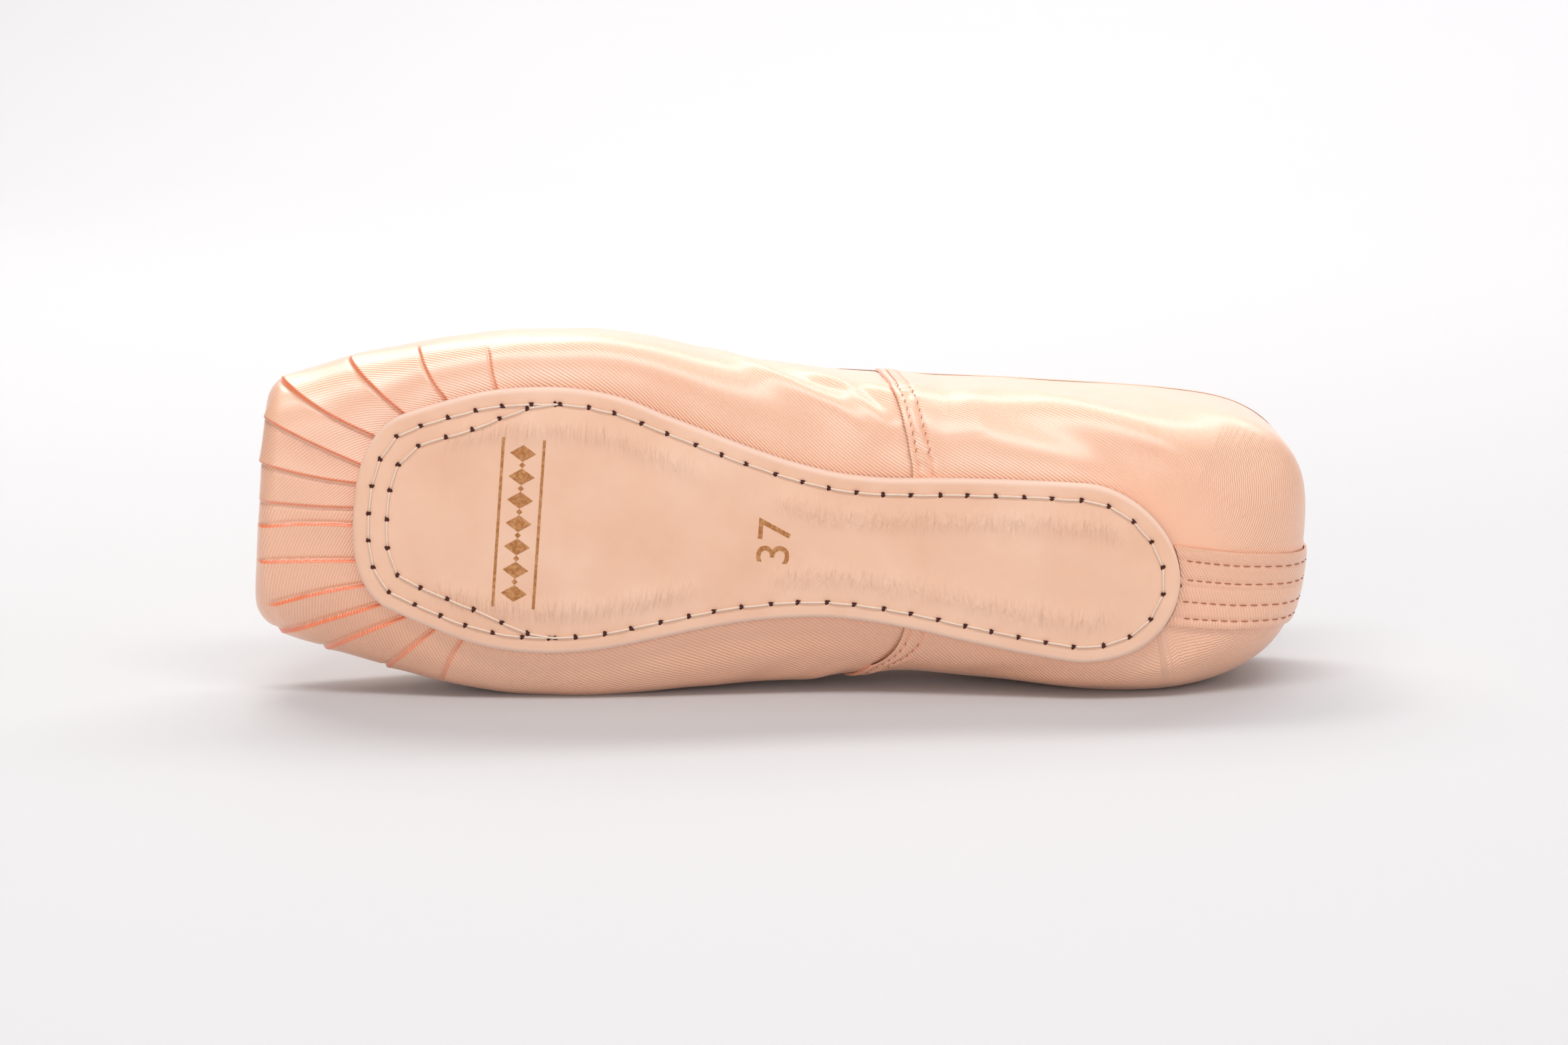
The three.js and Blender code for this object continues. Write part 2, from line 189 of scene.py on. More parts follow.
def tread_half(at):
    """Half the width of the leather sole."""
    return TREAD_HALF(at) * round_off(at, 184, 2, SOLE_END) * round_off(at, 32, 2.5, SOLE_START)


def sizes(at, inset):
    """Half width, widest height, underside, top, flat half, and the sway of sides and flat."""
    end = LENGTH - inset
    under = round_off(at, 189, 2, end)
    back = round_off(at, 197, 4, end)
    into = np.clip(PLATFORM_EDGE - (at - inset), 0, PLATFORM_EDGE)
    edge = PLATFORM_EDGE - np.sqrt(PLATFORM_EDGE**2 - into**2)
    half = np.maximum((HALF(at) - inset) * round_off(at, 187, 3.2, end) - edge, 0)
    wide, sway = WIDE(at), SWAY(at)
    return (
        half,
        wide,
        wide - (wide - BASE(at) - inset) * under + edge,
        wide + (TOP(at) - wide - inset) * back - edge,
        np.minimum(TREAD_HALF(at) - 1.5, 0.8 * half) * under,
        sway,
        sway + (TREAD_SWAY(at) - sway) * np.minimum(half / 16, 1),
    )


def inside(x, y, z, inset):
    """Whether points lie within the last, set in all round by a distance."""
    half, wide, base, top, flat, sway, flat_sway = sizes(x, inset)
    low = z < wide
    span = np.where(low, wide - base, top - wide)
    up = np.abs(z - wide) / np.maximum(span, 1e-6)
    bend = np.where(low, LOW_BEND(x), HIGH_BEND(x))
    across = np.clip(1 - np.clip(up, 0, 1) ** bend, 0, 1) ** (1 / bend)
    middle = np.where(low, -flat_sway, -sway)
    inner = np.where(low, flat, 0)
    reach_out = middle + inner + (half - sway - middle - inner) * across
    reach_back = middle - inner + (-half - sway - middle + inner) * across
    floor = REST_AT_TOE - x * math.tan(LIE_ANGLE) - inset
    within = (up <= 1) & (x >= inset) & (x <= LENGTH - inset)
    return within & (y <= np.minimum(reach_out, floor)) & (y >= reach_back)


def reach(origin, way, inset):
    """Where rays from inside the last meet its surface."""
    near = np.zeros(origin.shape[:-1])
    far = near + 150.0
    for _ in range(HALVINGS):
        middle = (near + far) / 2
        point = origin + way * middle[..., None]
        within = inside(point[..., 0], point[..., 1], point[..., 2], inset)
        near, far = np.where(within, middle, near), np.where(within, far, middle)
    return origin + way * near[..., None]


def laid(points):
    """Shoe millimetres (x, y, z) to the lying frame in metres."""
    x, v, z = points[..., 0], -points[..., 1], points[..., 2]
    c, s = math.cos(LIE_ANGLE), math.sin(LIE_ANGLE)
    return np.stack([x * c + v * s + PLACE_X, z + PLACE_Y, (v + REST_AT_TOE) * c - x * s], -1) / 1000


def stood(points):
    """The lying frame in metres back to shoe millimetres x, v, z."""
    a, z, b = (points[..., i] * 1000 for i in range(3))
    a, b = a - PLACE_X, b - REST_AT_TOE * math.cos(LIE_ANGLE)
    c, s = math.cos(LIE_ANGLE), math.sin(LIE_ANGLE)
    return a * c - b * s, a * s + b * c, z - PLACE_Y


def smooth(t):
    """Eases from 0 to 1 and stays there."""
    t = np.clip(t, 0, 1)
    return t * t * (3 - 2 * t)


def seam_at(z, v):
    """Distance of the side seam from the platform, on the side that v is on."""
    return np.where(v > 0, np.interp(z, *zip(*SEAM_AWAY)), np.interp(z, *zip(*SEAM_FLOOR)))


def run_length(points):
    """Distance gone at each point of a line, or of each of several lines."""
    gone = np.zeros(points.shape[:-1])
    gone[..., 1:] = np.cumsum(np.linalg.norm(np.diff(points, axis=-2), axis=-1), axis=-1)
    return gone


# ------------------------------------------------------------------ surfaces through the last


def columns_between(start, stop, step, crowding=1.0):
    """Stations from start to stop; a crowding over 1 brings them closer together at the start."""
    count = max(int(abs(stop - start) / step), 2)
    return start + (stop - start) * np.linspace(0, 1, count + 1) ** crowding


def last_columns(*runs):
    """Upright columns as origin x and plan direction, from runs of origins with directions."""
    return np.concatenate([np.stack(np.broadcast_arrays(*run), -1) for run in runs])


def outside(x):
    """No inset: the outside of the shoe."""
    return 0 * x


def profile_angles(columns, low_rows, high_rows, inset_of, rim, over_topline=None):
    """Elevation of each row in each column, even along the cloth: rim to widest, then upwards."""
    coarse = np.radians(np.linspace(-90, 90, 181))[None, :]
    level = 90  # the column's point at its widest
    points = column_points(columns, coarse, inset_of)
    length = run_length(points)
    x, y, z = (points[..., i] for i in range(3))
    under = np.abs(y + TREAD_SWAY(x)) - np.maximum(tread_half(np.clip(x - rim, 0, None)) - rim, -1)
    past_end = x > SOLE_END - rim
    covered = (under < 0) & ~past_end & (z < WIDE(x) - 4)
    angles = np.zeros((len(columns), low_rows + high_rows + 1))
    for i in range(len(columns)):
        hidden = np.nonzero(covered[i])[0]
        first = hidden[-1] if len(hidden) else 0
        start = length[i, first]
        if first < 2 * level and len(hidden):
            a, b = under[i, first], under[i, first + 1]
            if b > a and not past_end[i, first + 1]:
                start += (length[i, first + 1] - length[i, first]) * min(max(-a / (b - a), 0), 1)
        widest, stop = length[i, level], length[i, -1]
        if over_topline is not None:
            over = np.nonzero(z[i, level:] > TOPLINE(x[i, level:]) + over_topline)[0]
            stop = length[i, level + over[0]] if len(over) else stop
        row = np.concatenate([
            np.linspace(start, widest, low_rows + 1)[:-1],
            np.linspace(widest, stop, high_rows + 1),
        ])
        angles[i] = np.interp(row, length[i], coarse[0])
    angles[:, -1] = np.where(angles[:, -1] > math.radians(89.5), math.pi / 2, angles[:, -1])
    return angles


def column_points(columns, angles, inset_of=outside, shift=0.0):
    """The last's surface along each column, which may start from a shifted origin."""
    x0, turn = columns[:, :1] + shift, columns[:, 1:]
    shape = np.broadcast(x0, turn, angles).shape
    x0, turn, angles = (np.broadcast_to(a, shape) for a in (x0, turn, angles))
    origin = np.stack([x0, -SWAY(x0), WIDE(x0)], -1)
    level = np.cos(angles)
    way = np.stack([np.cos(turn) * level, np.sin(turn) * level, np.sin(angles)], -1)
    return reach(origin, way, inset_of(x0))


def deselect():
    if bpy.context.object and bpy.context.object.mode != "OBJECT":
        bpy.ops.object.mode_set(mode="OBJECT")
    bpy.ops.object.select_all(action="DESELECT")


def choose(piece):
    deselect()
    piece.select_set(True)
    bpy.context.view_layer.objects.active = piece


@contextmanager
def editing(piece):
    """Edit mode on one piece, with all of its mesh selected."""
    choose(piece)
    bpy.ops.object.mode_set(mode="EDIT")
    bpy.ops.mesh.select_all(action="SELECT")
    yield
    bpy.ops.object.mode_set(mode="OBJECT")


def mesh_piece(name, vertices, faces):
    """A piece made from vertices and faces that have been worked out."""
    mesh = bpy.data.meshes.new(name)
    mesh.from_pydata([tuple(vertex) for vertex in vertices], [], faces)
    piece = bpy.data.objects.new(name, mesh)
    bpy.context.scene.collection.objects.link(piece)
    return piece


def grid_piece(name, points, cloth=None):
    """A grid primitive whose vertices take the given places; points[i][j] run u by v."""
    across, along = points.shape[:2]
    deselect()
    bpy.ops.mesh.primitive_grid_add(
        x_subdivisions=across - 1, y_subdivisions=along - 1, size=1, calc_uvs=True, location=(0, 0, 0)
    )
    piece = bpy.context.object
    piece.name = piece.data.name = name
    mesh = piece.data
    mesh.vertices.foreach_set("co", points.transpose(1, 0, 2).reshape(-1).astype(np.float32))
    if cloth is not None:
        corner = np.zeros(len(mesh.loops), np.int32)
        mesh.loops.foreach_get("vertex_index", corner)
        flat = cloth.transpose(1, 0, 2).reshape(-1, 2)[corner]
        mesh.uv_layers[0].data.foreach_set("uv", flat.reshape(-1).astype(np.float32))
    mesh.uv_layers[0].name = "Cloth"
    mesh.update()
    return piece


def cloth_lengths(points):
    """UVs in millimetres measured along the cloth, from the widest line's length and the rows'."""
    along = run_length(points[:, points.shape[1] // 2])
    across = run_length(points)
    return np.stack([np.broadcast_to(along[:, None], across.shape), across], -1)


def merged(piece, distance=0.02):
    """Closes a piece's seams and poles and turns its faces outwards."""
    with editing(piece):
        bpy.ops.mesh.remove_doubles(threshold=distance)
        bpy.ops.mesh.normals_make_consistent(inside=False)


def places(piece, field="co"):
    """The places of a piece's vertices, or another vector of theirs."""
    numbers = np.zeros(len(piece.data.vertices) * 3)
    piece.data.vertices.foreach_get(field, numbers)
    return numbers.reshape(-1, 3)


def put(piece, points):
    piece.data.vertices.foreach_set("co", points.reshape(-1).astype(np.float32))
    piece.data.update()


def cut_at_topline(piece, shift=0.0):
    """Cuts away all that lies above the topline: the shoe is sheared so that the line is level."""
    points = places(piece)
    points[:, 2] -= TOPLINE(points[:, 0]) + shift
    put(piece, points)
    with editing(piece):
        bpy.ops.mesh.bisect(
            plane_co=(0, 0, 0), plane_no=(0, 0, 1), clear_outer=True, threshold=0.001
        )
    points = places(piece)
    points[:, 2] += TOPLINE(points[:, 0]) + shift
    put(piece, points)


def raised(piece, height):
    """Moves every vertex out along its normal by height(x, v, z), but not past the floor."""
    points = places(piece)
    lift = height(points[:, 0], -points[:, 1], points[:, 2])
    points += places(piece, "normal") * lift[:, None]
    points[:, 1] = np.minimum(points[:, 1], REST_AT_TOE - points[:, 0] * math.tan(LIE_ANGLE))
    put(piece, points)


def note(piece, name, values):
    """Stores a number per vertex for the material to read."""
    layer = piece.data.attributes.new(name, "FLOAT", "POINT")
    layer.data.foreach_set("value", np.asarray(values, np.float32))


def dress(piece, material, stands_for=(), angle=None):
    """Lays the finished piece down, gives it its material and joins it to the shoe."""
    put(piece, laid(places(piece)))
    piece.data.materials.clear()
    piece.data.materials.append(material)
    choose(piece)
    if angle is None:
        bpy.ops.object.shade_smooth()
    else:
        bpy.ops.object.shade_smooth_by_angle(angle=math.radians(angle))
    if stands_for:
        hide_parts(*stands_for)
    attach(piece, "root")
    return piece


def calmed(points, axis, wide):
    """How much the weave fades out towards an upright axis, where the columns crowd together."""
    off = np.hypot(points[:, 0] - axis, points[:, 1] + SWAY(points[:, 0]))
    return 1 - smooth((off / wide - 0.3) / 0.5)


def line_distance(x, v, z, line):
    """Distance to a line of points, and how far along it the nearest place is, 0 to 1."""
    p = np.stack([x, v, z], -1)
    line = np.array(line, float)
    steps = np.linalg.norm(np.diff(line, axis=0), axis=1)
    total, gone = steps.sum(), 0.0
    best, share = np.full(len(p), 1e9), np.zeros(len(p))
    for a, b, step in zip(line[:-1], line[1:], steps):
        t = np.clip(((p - a) @ (b - a)) / step**2, 0, 1)
        d = np.linalg.norm(p - a - t[:, None] * (b - a), axis=1)
        share = np.where(d < best, (gone + t * step) / total, share)
        best = np.minimum(best, d)
        gone += step
    return best, share


def creases(x, v, z, table):
    """Lift of the soft creases in a table, each highest half way along."""
    lift = np.zeros(len(x))
    for height, width, *line in table:
        d, t = line_distance(x, v, z, line)
        swell = np.sin(math.pi * np.clip(t * 0.86 + 0.07, 0, 1)) ** 0.7
        lift += 1.3 * height * np.exp(-((d / width) ** 2)) * swell
    return lift


def fold_lift(x, v, z):
    """Laps of the toe pleats; each point's place between folds, the panel's width, and how strongly
    painted shade darkens the folds there.
    """
    lift, deep = np.zeros(len(x)), np.zeros(len(x))
    passed = []
    for number, (ix, iv, ox, ov, oz, high) in enumerate(FOLDS):
        run = math.hypot(ox - ix, ov - iv)
        dx, dv = (ox - ix) / run, (ov - iv) / run
        side = 1 if number < UPPER_FOLDS else -1
        along = (x - ix) * dx + (v - iv) * dv
        bow = 0.5 * np.sin(math.pi * np.clip(along / run, 0, 1)) * (1 if number % 2 else 0.4)
        d = ((x - ix) * dv - (v - iv) * dx) * side + bow
        past = np.maximum(along - run, 0) + np.maximum(z - oz, 0) * 0.8
        fade = np.exp(-((past / 2.6) ** 2)) * smooth((along + 12) / 6) * (z < 30)
        lift += fade * high * smooth(d / LAP_EDGE + 0.5) * np.exp(-np.maximum(d, 0) / LAP_RUN)
        lift -= fade * GROOVE_DEEP * np.exp(-(((d + 0.30) / GROOVE_WIDE) ** 2))
        # painted shade along each fold line, stronger where the lap rises higher
        deep = np.maximum(deep, fade * np.exp(-((d / 1.6) ** 2)) * min(1, high + 0.15))
        passed.append(-d * side + 0.2 * side)
    passed = np.array(passed)
    gone = (passed > 0).sum(0)
    each, last = np.arange(len(x)), len(FOLDS) - 1
    before = passed[np.clip(gone - 1, 0, last), each]
    after = -passed[np.clip(gone, 0, last), each]
    inner = (gone > 0) & (gone <= last)
    width = np.where(inner, np.maximum(before + after, 0.2), END_PANEL)
    ends = np.where(gone == 0, 1 - after / END_PANEL, before / END_PANEL)
    return lift, gone + np.where(inner, before / width, ends), width, deep


# ------------------------------------------------------------------ materials


def linear(code):
    """An sRGB hex colour as linear red, green, blue and alpha."""
    parts = [int(code[i : i + 2], 16) / 255 for i in (1, 3, 5)]
    return (*[c / 12.92 if c <= 0.04045 else ((c + 0.055) / 1.055) ** 2.4 for c in parts], 1.0)


def node(tree, kind, output, inputs=None, **settings):
    """Adds a shader node, sets its settings, sets or links its inputs, and gives back an output."""
    made = tree.nodes.new("ShaderNode" + kind)
    for name, value in settings.items():
        setattr(made, name, value)
    for name, value in (inputs or {}).items():
        if isinstance(value, bpy.types.NodeSocket):
            tree.links.new(value, made.inputs[name])
        else:
            made.inputs[name].default_value = value
    return made.outputs[output] if output else None


def new_material(name):
    material = bpy.data.materials.new(name)
    material.use_nodes = True
    tree = material.node_tree
    tree.nodes.clear()
    return material, tree


def finish_material(tree, inputs):
    """Ends a material in one shader and its output."""
    shader = node(tree, "BsdfPrincipled", "BSDF", inputs)
    node(tree, "OutputMaterial", None, {"Surface": shader})


def satin(finish):
    """Polyester duchess satin, calendered: long floats give a broad soft gloss, and the binding
    points show as fine slanting ribs. The real thread spacing, 0.1 mm, is too fine to show, so
    the ribs are drawn 0.66 mm apart, where bundles of floats catch the light."""
    material, tree = new_material("duchess_satin")
    own = node(tree, "TexCoord", "Object")
    cloth = node(tree, "UVMap", "UV", uv_map="Cloth")
    turned = node(tree, "Mapping", "Vector", {
        "Vector": cloth, "Rotation": (0, 0, finish.weave_turn),
    })
    ribs = node(tree, "TexWave", "Fac", {
        "Vector": turned, "Scale": 0.476, "Distortion": 0.35, "Detail": 2.0, "Detail Scale": 1.4,
    })
    broad = node(tree, "TexNoise", "Fac", {"Vector": own, "Scale": 22.0, "Detail": 3.0})
    fine = node(tree, "TexNoise", "Fac", {"Vector": cloth, "Scale": 1.9, "Detail": 4.0})
    tone = node(tree, "Mix", "Result", {
        "Factor": broad, "A": linear(finish.satin_light), "B": linear(finish.satin_dark),
    }, data_type="RGBA")
    rib_share = node(tree, "Math", "Value", {0: ribs, 1: 0.42}, operation="MULTIPLY")
    ribbed = node(tree, "Mix", "Result", {
        "Factor": rib_share, "A": tone, "B": linear(finish.satin_rib),
    }, data_type="RGBA")
    # Painted shade: the dark line in each fold, from how far the cloth there is from the nearest fold,
    # joined with the painted shade noted on the quarters' seams.
    pleat, panel, deep, shade, calm = (
        node(tree, "Attribute", "Fac", attribute_name=name)
        for name in ("pleat", "panel", "deep", "shade", "calm")
    )
    off_fold = node(tree, "Math", "Value", {0: pleat, 1: 0.5}, operation="PINGPONG")
    off_mm = node(tree, "Math", "Value", {0: off_fold, 1: panel}, operation="MULTIPLY")
    line = node(tree, "MapRange", "Result", {
        "Value": off_mm, "From Min": 0.12, "From Max": 0.55, "To Min": 1.0, "To Max": 0.0,
    }, interpolation_type="SMOOTHSTEP")
    crevice = node(tree, "Math", "Value", {0: line, 1: deep}, operation="MULTIPLY")
    depth = node(tree, "Math", "Value", {0: crevice, 1: shade}, operation="MAXIMUM")
    # mixes the colour of the painted fold shade into the satin's tone
    folded = node(tree, "Mix", "Result", {
        "Factor": depth, "A": ribbed, "B": linear(finish.satin_fold_shade),
    }, data_type="RGBA")
    shown = node(tree, "Math", "Value", {0: 1.0, 1: calm}, operation="SUBTRACT")
    height = node(tree, "Math", "Value", {0: ribs, 1: shown}, operation="MULTIPLY")
    weave = node(tree, "Bump", "Normal", {"Height": height, "Strength": 1.0, "Distance": 0.00013})
    slub = node(tree, "Bump", "Normal", {
        "Height": fine, "Strength": 0.22, "Distance": 0.00012, "Normal": weave,
    })
    rough = node(tree, "MapRange", "Result", {
        "Value": fine, "From Min": 0.3, "From Max": 0.7, "To Min": 0.33, "To Max": 0.42,
    })
    tangent = node(tree, "Tangent", "Tangent", direction_type="UV_MAP", uv_map="Cloth")
    finish_material(tree, {
        "Base Color": folded, "Roughness": rough, "Normal": slub, "Tangent": tangent,
        "IOR": 1.54, "Specular IOR Level": 1.0, "Anisotropic": 0.35,
        "Coat Weight": 0.9, "Coat Roughness": 0.34, "Coat IOR": 1.75,
        "Sheen Weight": 0.15, "Sheen Roughness": 0.4, "Sheen Tint": linear("#ffe9dd"),
    })
    return material


def sole_leather():
    """Chrome-tanned suede-backed split, rolled smooth: matt, faintly mottled, with small pores and
    short creases pressed in beside the stitching."""
    material, tree = new_material("rolled_sole_leather")
    own = node(tree, "TexCoord", "Object")
    cloth = node(tree, "UVMap", "UV", uv_map="Cloth")
    mottle = node(tree, "TexNoise", "Fac", {
        "Vector": own, "Scale": 34.0, "Detail": 5.0, "Roughness": 0.62,
    })
    pores = node(tree, "TexNoise", "Fac", {"Vector": own, "Scale": 900.0, "Detail": 3.0})
    stretched = node(tree, "Mapping", "Vector", {"Vector": cloth, "Scale": (1.15, 0.16, 1.0)})
    nicks = node(tree, "TexNoise", "Fac", {
        "Vector": stretched, "Scale": 1.0, "Detail": 3.0, "Distortion": 0.6,
    })
    band, rim, dark = (
        node(tree, "Attribute", "Fac", attribute_name=name) for name in ("creased", "rim", "deep")
    )
    tone = node(tree, "ValToRGB", "Color", {"Fac": mottle})
    low, high = tone.node.color_ramp.elements
    low.position, low.color = 0.30, linear("#e9b798")
    high.position, high.color = 0.70, linear("#f2c8ac")
    edged = node(tree, "Mix", "Result", {
        "Factor": rim, "A": tone, "B": linear("#efcbb6"),
    }, data_type="RGBA")
    # painted shade in the awl holes' pits and along the stitch channel
    pit_shaded = node(tree, "Mix", "Result", {
        "Factor": dark, "A": edged, "B": linear("#c98d6d"),
    }, data_type="RGBA")
    creased = node(tree, "Math", "Value", {0: nicks, 1: band}, operation="MULTIPLY")
    grain = node(tree, "Bump", "Normal", {"Height": pores, "Strength": 0.16, "Distance": 0.00008})
    pressed = node(tree, "Bump", "Normal", {
        "Height": creased, "Strength": 0.8, "Distance": 0.0011, "Normal": grain,
    })
    finish_material(tree, {
        "Base Color": pit_shaded, "Roughness": 0.58, "Normal": pressed, "IOR": 1.5,
        "Specular IOR Level": 0.35, "Sheen Weight": 0.15, "Sheen Roughness": 0.6,
    })
    return material


def plain_cloth(name, light, dark, rib_mm, roughness):
    """Woven cotton or ribbed elastic: matt, with the ribs running across the strip and painted shade in
    the grooves between them.
    """
    material, tree = new_material(name)
    cloth = node(tree, "UVMap", "UV", uv_map="Cloth")
    ribs = node(tree, "TexWave", "Fac", {
        "Vector": cloth, "Scale": 0.314 / rib_mm, "Distortion": 0.8, "Detail": 2.0,
    })
    tone = node(tree, "Mix", "Result", {
        "Factor": ribs, "A": linear(dark), "B": linear(light),
    }, data_type="RGBA")
    bump = node(tree, "Bump", "Normal", {"Height": ribs, "Strength": 0.5, "Distance": 0.00015})
    finish_material(tree, {
        "Base Color": tone, "Roughness": roughness, "Normal": bump, "IOR": 1.5,
        "Specular IOR Level": 0.3, "Sheen Weight": 0.3, "Sheen Roughness": 0.5,
    })
    return material


def thread(name, light, dark):
    """Twisted waxed cotton thread: a pale ply with a darker line of painted shade where the plies meet.
    """
    material, tree = new_material(name)
    cloth = node(tree, "UVMap", "UV", uv_map="Cloth")
    turned = node(tree, "Mapping", "Vector", {"Vector": cloth, "Rotation": (0, 0, 0.7)})
    ply = node(tree, "TexWave", "Fac", {"Vector": turned, "Scale": 0.5})
    tone = node(tree, "Mix", "Result", {
        "Factor": ply, "A": linear(dark), "B": linear(light),
    }, data_type="RGBA")
    bump = node(tree, "Bump", "Normal", {"Height": ply, "Strength": 0.6, "Distance": 0.0001})
    finish_material(tree, {"Base Color": tone, "Roughness": 0.6, "Normal": bump, "IOR": 1.5})
    return material


def foil():
    """Hot-stamped pigment foil rubbed into leather: warm brown, a little worn through."""
    material, tree = new_material("stamped_foil")
    own = node(tree, "TexCoord", "Object")
    worn = node(tree, "TexNoise", "Fac", {"Vector": own, "Scale": 1400.0, "Detail": 3.0})
    tone = node(tree, "ValToRGB", "Color", {"Fac": worn})
    low, high = tone.node.color_ramp.elements
    low.position, low.color = 0.38, linear("#a8682f")
    high.position, high.color = 0.72, linear("#cf9560")
    finish_material(tree, {"Base Color": tone, "Roughness": 0.42, "Metallic": 0.15, "IOR": 1.5})
    return material


def painted_hole_shade():
    """Painted shade for an awl hole through leather: dark and matt."""
    material, tree = new_material("awl_hole_shadow")
    own = node(tree, "TexCoord", "Object")
    fibre = node(tree, "TexNoise", "Fac", {"Vector": own, "Scale": 2500.0})
    tone = node(tree, "Mix", "Result", {
        "Factor": fibre, "A": linear("#2c100c"), "B": linear("#5a2a22"),
    }, data_type="RGBA")
    finish_material(tree, {"Base Color": tone, "Roughness": 0.9, "IOR": 1.45})
    return material


# ------------------------------------------------------------------ small shapes


def tubes(name, paths, radius, sides=6):
    """One mesh of short threads, each a tube with tapered closed ends."""
    vertices, faces, uvs = [], [], []
    for path, normals in paths:
        path = np.array(path)
        way = np.gradient(path, axis=0)
        way /= np.linalg.norm(way, axis=1)[:, None]
        other = np.cross(way, np.array(normals))
        other /= np.linalg.norm(other, axis=1)[:, None]
        up = np.cross(other, way)
        start, last = len(vertices), len(path) - 1
        gone = run_length(path)
        for i, point in enumerate(path):
            thick = radius * (0.55 if i in (0, last) else 1)
            for k in range(sides):
                a = 2 * math.pi * k / sides
                vertices.append(point + thick * (math.cos(a) * other[i] + math.sin(a) * up[i]))
        for i in range(last):
            for k in range(sides):
                a, b = start + i * sides + k, start + i * sides + (k + 1) % sides
                faces.append((a, b, b + sides, a + sides))
                uvs += [(gone[i], k), (gone[i], k + 1), (gone[i + 1], k + 1), (gone[i + 1], k)]
        faces.append(tuple(start + k for k in reversed(range(sides))))
        faces.append(tuple(start + last * sides + k for k in range(sides)))
        uvs += [(0, 0)] * sides * 2
    piece = mesh_piece(name, vertices, faces)
    layer = piece.data.uv_layers.new(name="Cloth")
    layer.data.foreach_set("uv", np.array(uvs, np.float32).reshape(-1))
    merged(piece, 0.0001)
    return piece


def surface_of(piece):
    """A searchable copy of a finished piece, in the lying frame."""
    bpy.context.view_layer.update()
    return BVHTree.FromObject(piece, bpy.context.evaluated_depsgraph_get())


def found(hit, lift):
    """Where a search met a piece, in shoe millimetres and lifted off it, with the normal there."""
    place, normal = hit[:2]
    if place is None:
        raise RuntimeError("a stitch or a stamp found no surface under it")
    place = place + normal * lift / 1000
    x, v, z = stood(np.array(place))
    tip = stood(np.array(place + normal / 1000))
    return np.array([x, -v, z]), np.array([tip[0] - x, -(tip[1] - v), tip[2] - z])


def on_cloth(tree, point_mm, lift):
    """The nearest place on a finished piece."""
    return found(tree.find_nearest(Vector(laid(np.array(point_mm, float)))), lift)


def on_sole(tree, x, y, lift):
    """The place on the sole's face straight above a point on the ground."""
    below = Vector(laid(np.array((x, y, -30), float)))
    return found(tree.ray_cast(below, Vector((0, 1, 0))), lift)


# ------------------------------------------------------------------ sizes and colours to change


class ShoeFinish(bpy.types.PropertyGroup):
    satin_light: bpy.props.StringProperty(
        name="Satin light tone", description="Palest tone of the satin, as sRGB hex", default="#ffcda8")
    satin_dark: bpy.props.StringProperty(
        name="Satin deep tone", description="Deepest tone of the satin, as sRGB hex", default="#fdb78f")
    satin_rib: bpy.props.StringProperty(
        name="Satin rib tone", description="Tone between the floats of the weave", default="#e0926c")
    # colour of the painted shade inside the toe pleats and along the quarters' seams
    satin_fold_shade: bpy.props.StringProperty(
        name="Satin fold tone", description="Tone deep inside a fold", default="#fb7428")
    weave_turn: bpy.props.FloatProperty(
        name="Weave turn", description="Slant of the weave to the sole",
        default=math.radians(-60), subtype="ANGLE")


class SoleSizes(bpy.types.PropertyGroup):
    stitch_pitch: bpy.props.FloatProperty(
        name="Stitch pitch", description="Distance between awl holes", default=0.0063, unit="LENGTH")
    row_inset: bpy.props.FloatProperty(
        name="Row inset", description="From the sole's edge to the outer row",
        default=0.0036, unit="LENGTH")
    second_row: bpy.props.FloatProperty(
        name="Second row", description="From the outer row to the second one",
        default=0.0041, unit="LENGTH")
    size_number: bpy.props.StringProperty(
        name="Size number", description="Plain size number stamped on the waist", default="37")


# ------------------------------------------------------------------ the upper


VAMP_END, QUARTER_START = 153.0, 140.0  # the quarters lap over the vamp between these
SATIN_RIM = 4.0  # how far the satin reaches in under the leather sole


def satin_material():
    made = bpy.data.materials.get("duchess_satin")
    return made or satin(bpy.context.scene.shoe_finish)


def near_topline(x, z, reach_mm=3.0):
    """Keeps creases off the top edge."""
    return smooth((TOPLINE(x) - z) / reach_mm)


class SHOE_OT_vamp(bpy.types.Operator):
    """Satin vamp, from the pleats under the sole over the box to the side seams"""

    bl_idname = "shoe.vamp"
    bl_label = "Vamp"

    def execute(self, context):
        columns = last_columns(
            (columns_between(VAMP_END, TOE_AXIS, 0.85), FLOOR_SIDE),
            (TOE_AXIS, np.radians(np.linspace(90, 270, 470))[1:-1]),
            (columns_between(TOE_AXIS, VAMP_END, 0.85), AWAY_SIDE),
        )
        points = column_points(columns, profile_angles(columns, 92, 36, outside, SATIN_RIM))
        piece = grid_piece("vamp_satin", points, cloth_lengths(points))
        cut_at_topline(piece)
        merged(piece)

        def height(x, v, z):
            lift = fold_lift(x, v, z)[0]
            under = smooth((x - seam_at(z, v)) / 0.8)
            lift += creases(x, v, z, VAMP_CREASES) * near_topline(x, z) * (1 - under)
            uneven = 0.10 * np.sin(x * 0.31 + v * 0.17) * np.sin(v * 0.23 - x * 0.08)
            lift += uneven * near_topline(x, z)
            return lift - 0.35 * under

        points = places(piece)
        _, pleat, width, deep = fold_lift(points[:, 0], -points[:, 1], points[:, 2])
        raised(piece, height)
        note(piece, "calm", calmed(points, TOE_AXIS, 40) * (points[:, 2] > WIDE(points[:, 0])))
        note(piece, "pleat", pleat)
        note(piece, "panel", width)
        # deep: strength of the painted shade in each fold
        note(piece, "deep", deep)
        dress(piece, satin_material(), ["upper"])
        return {"FINISHED"}


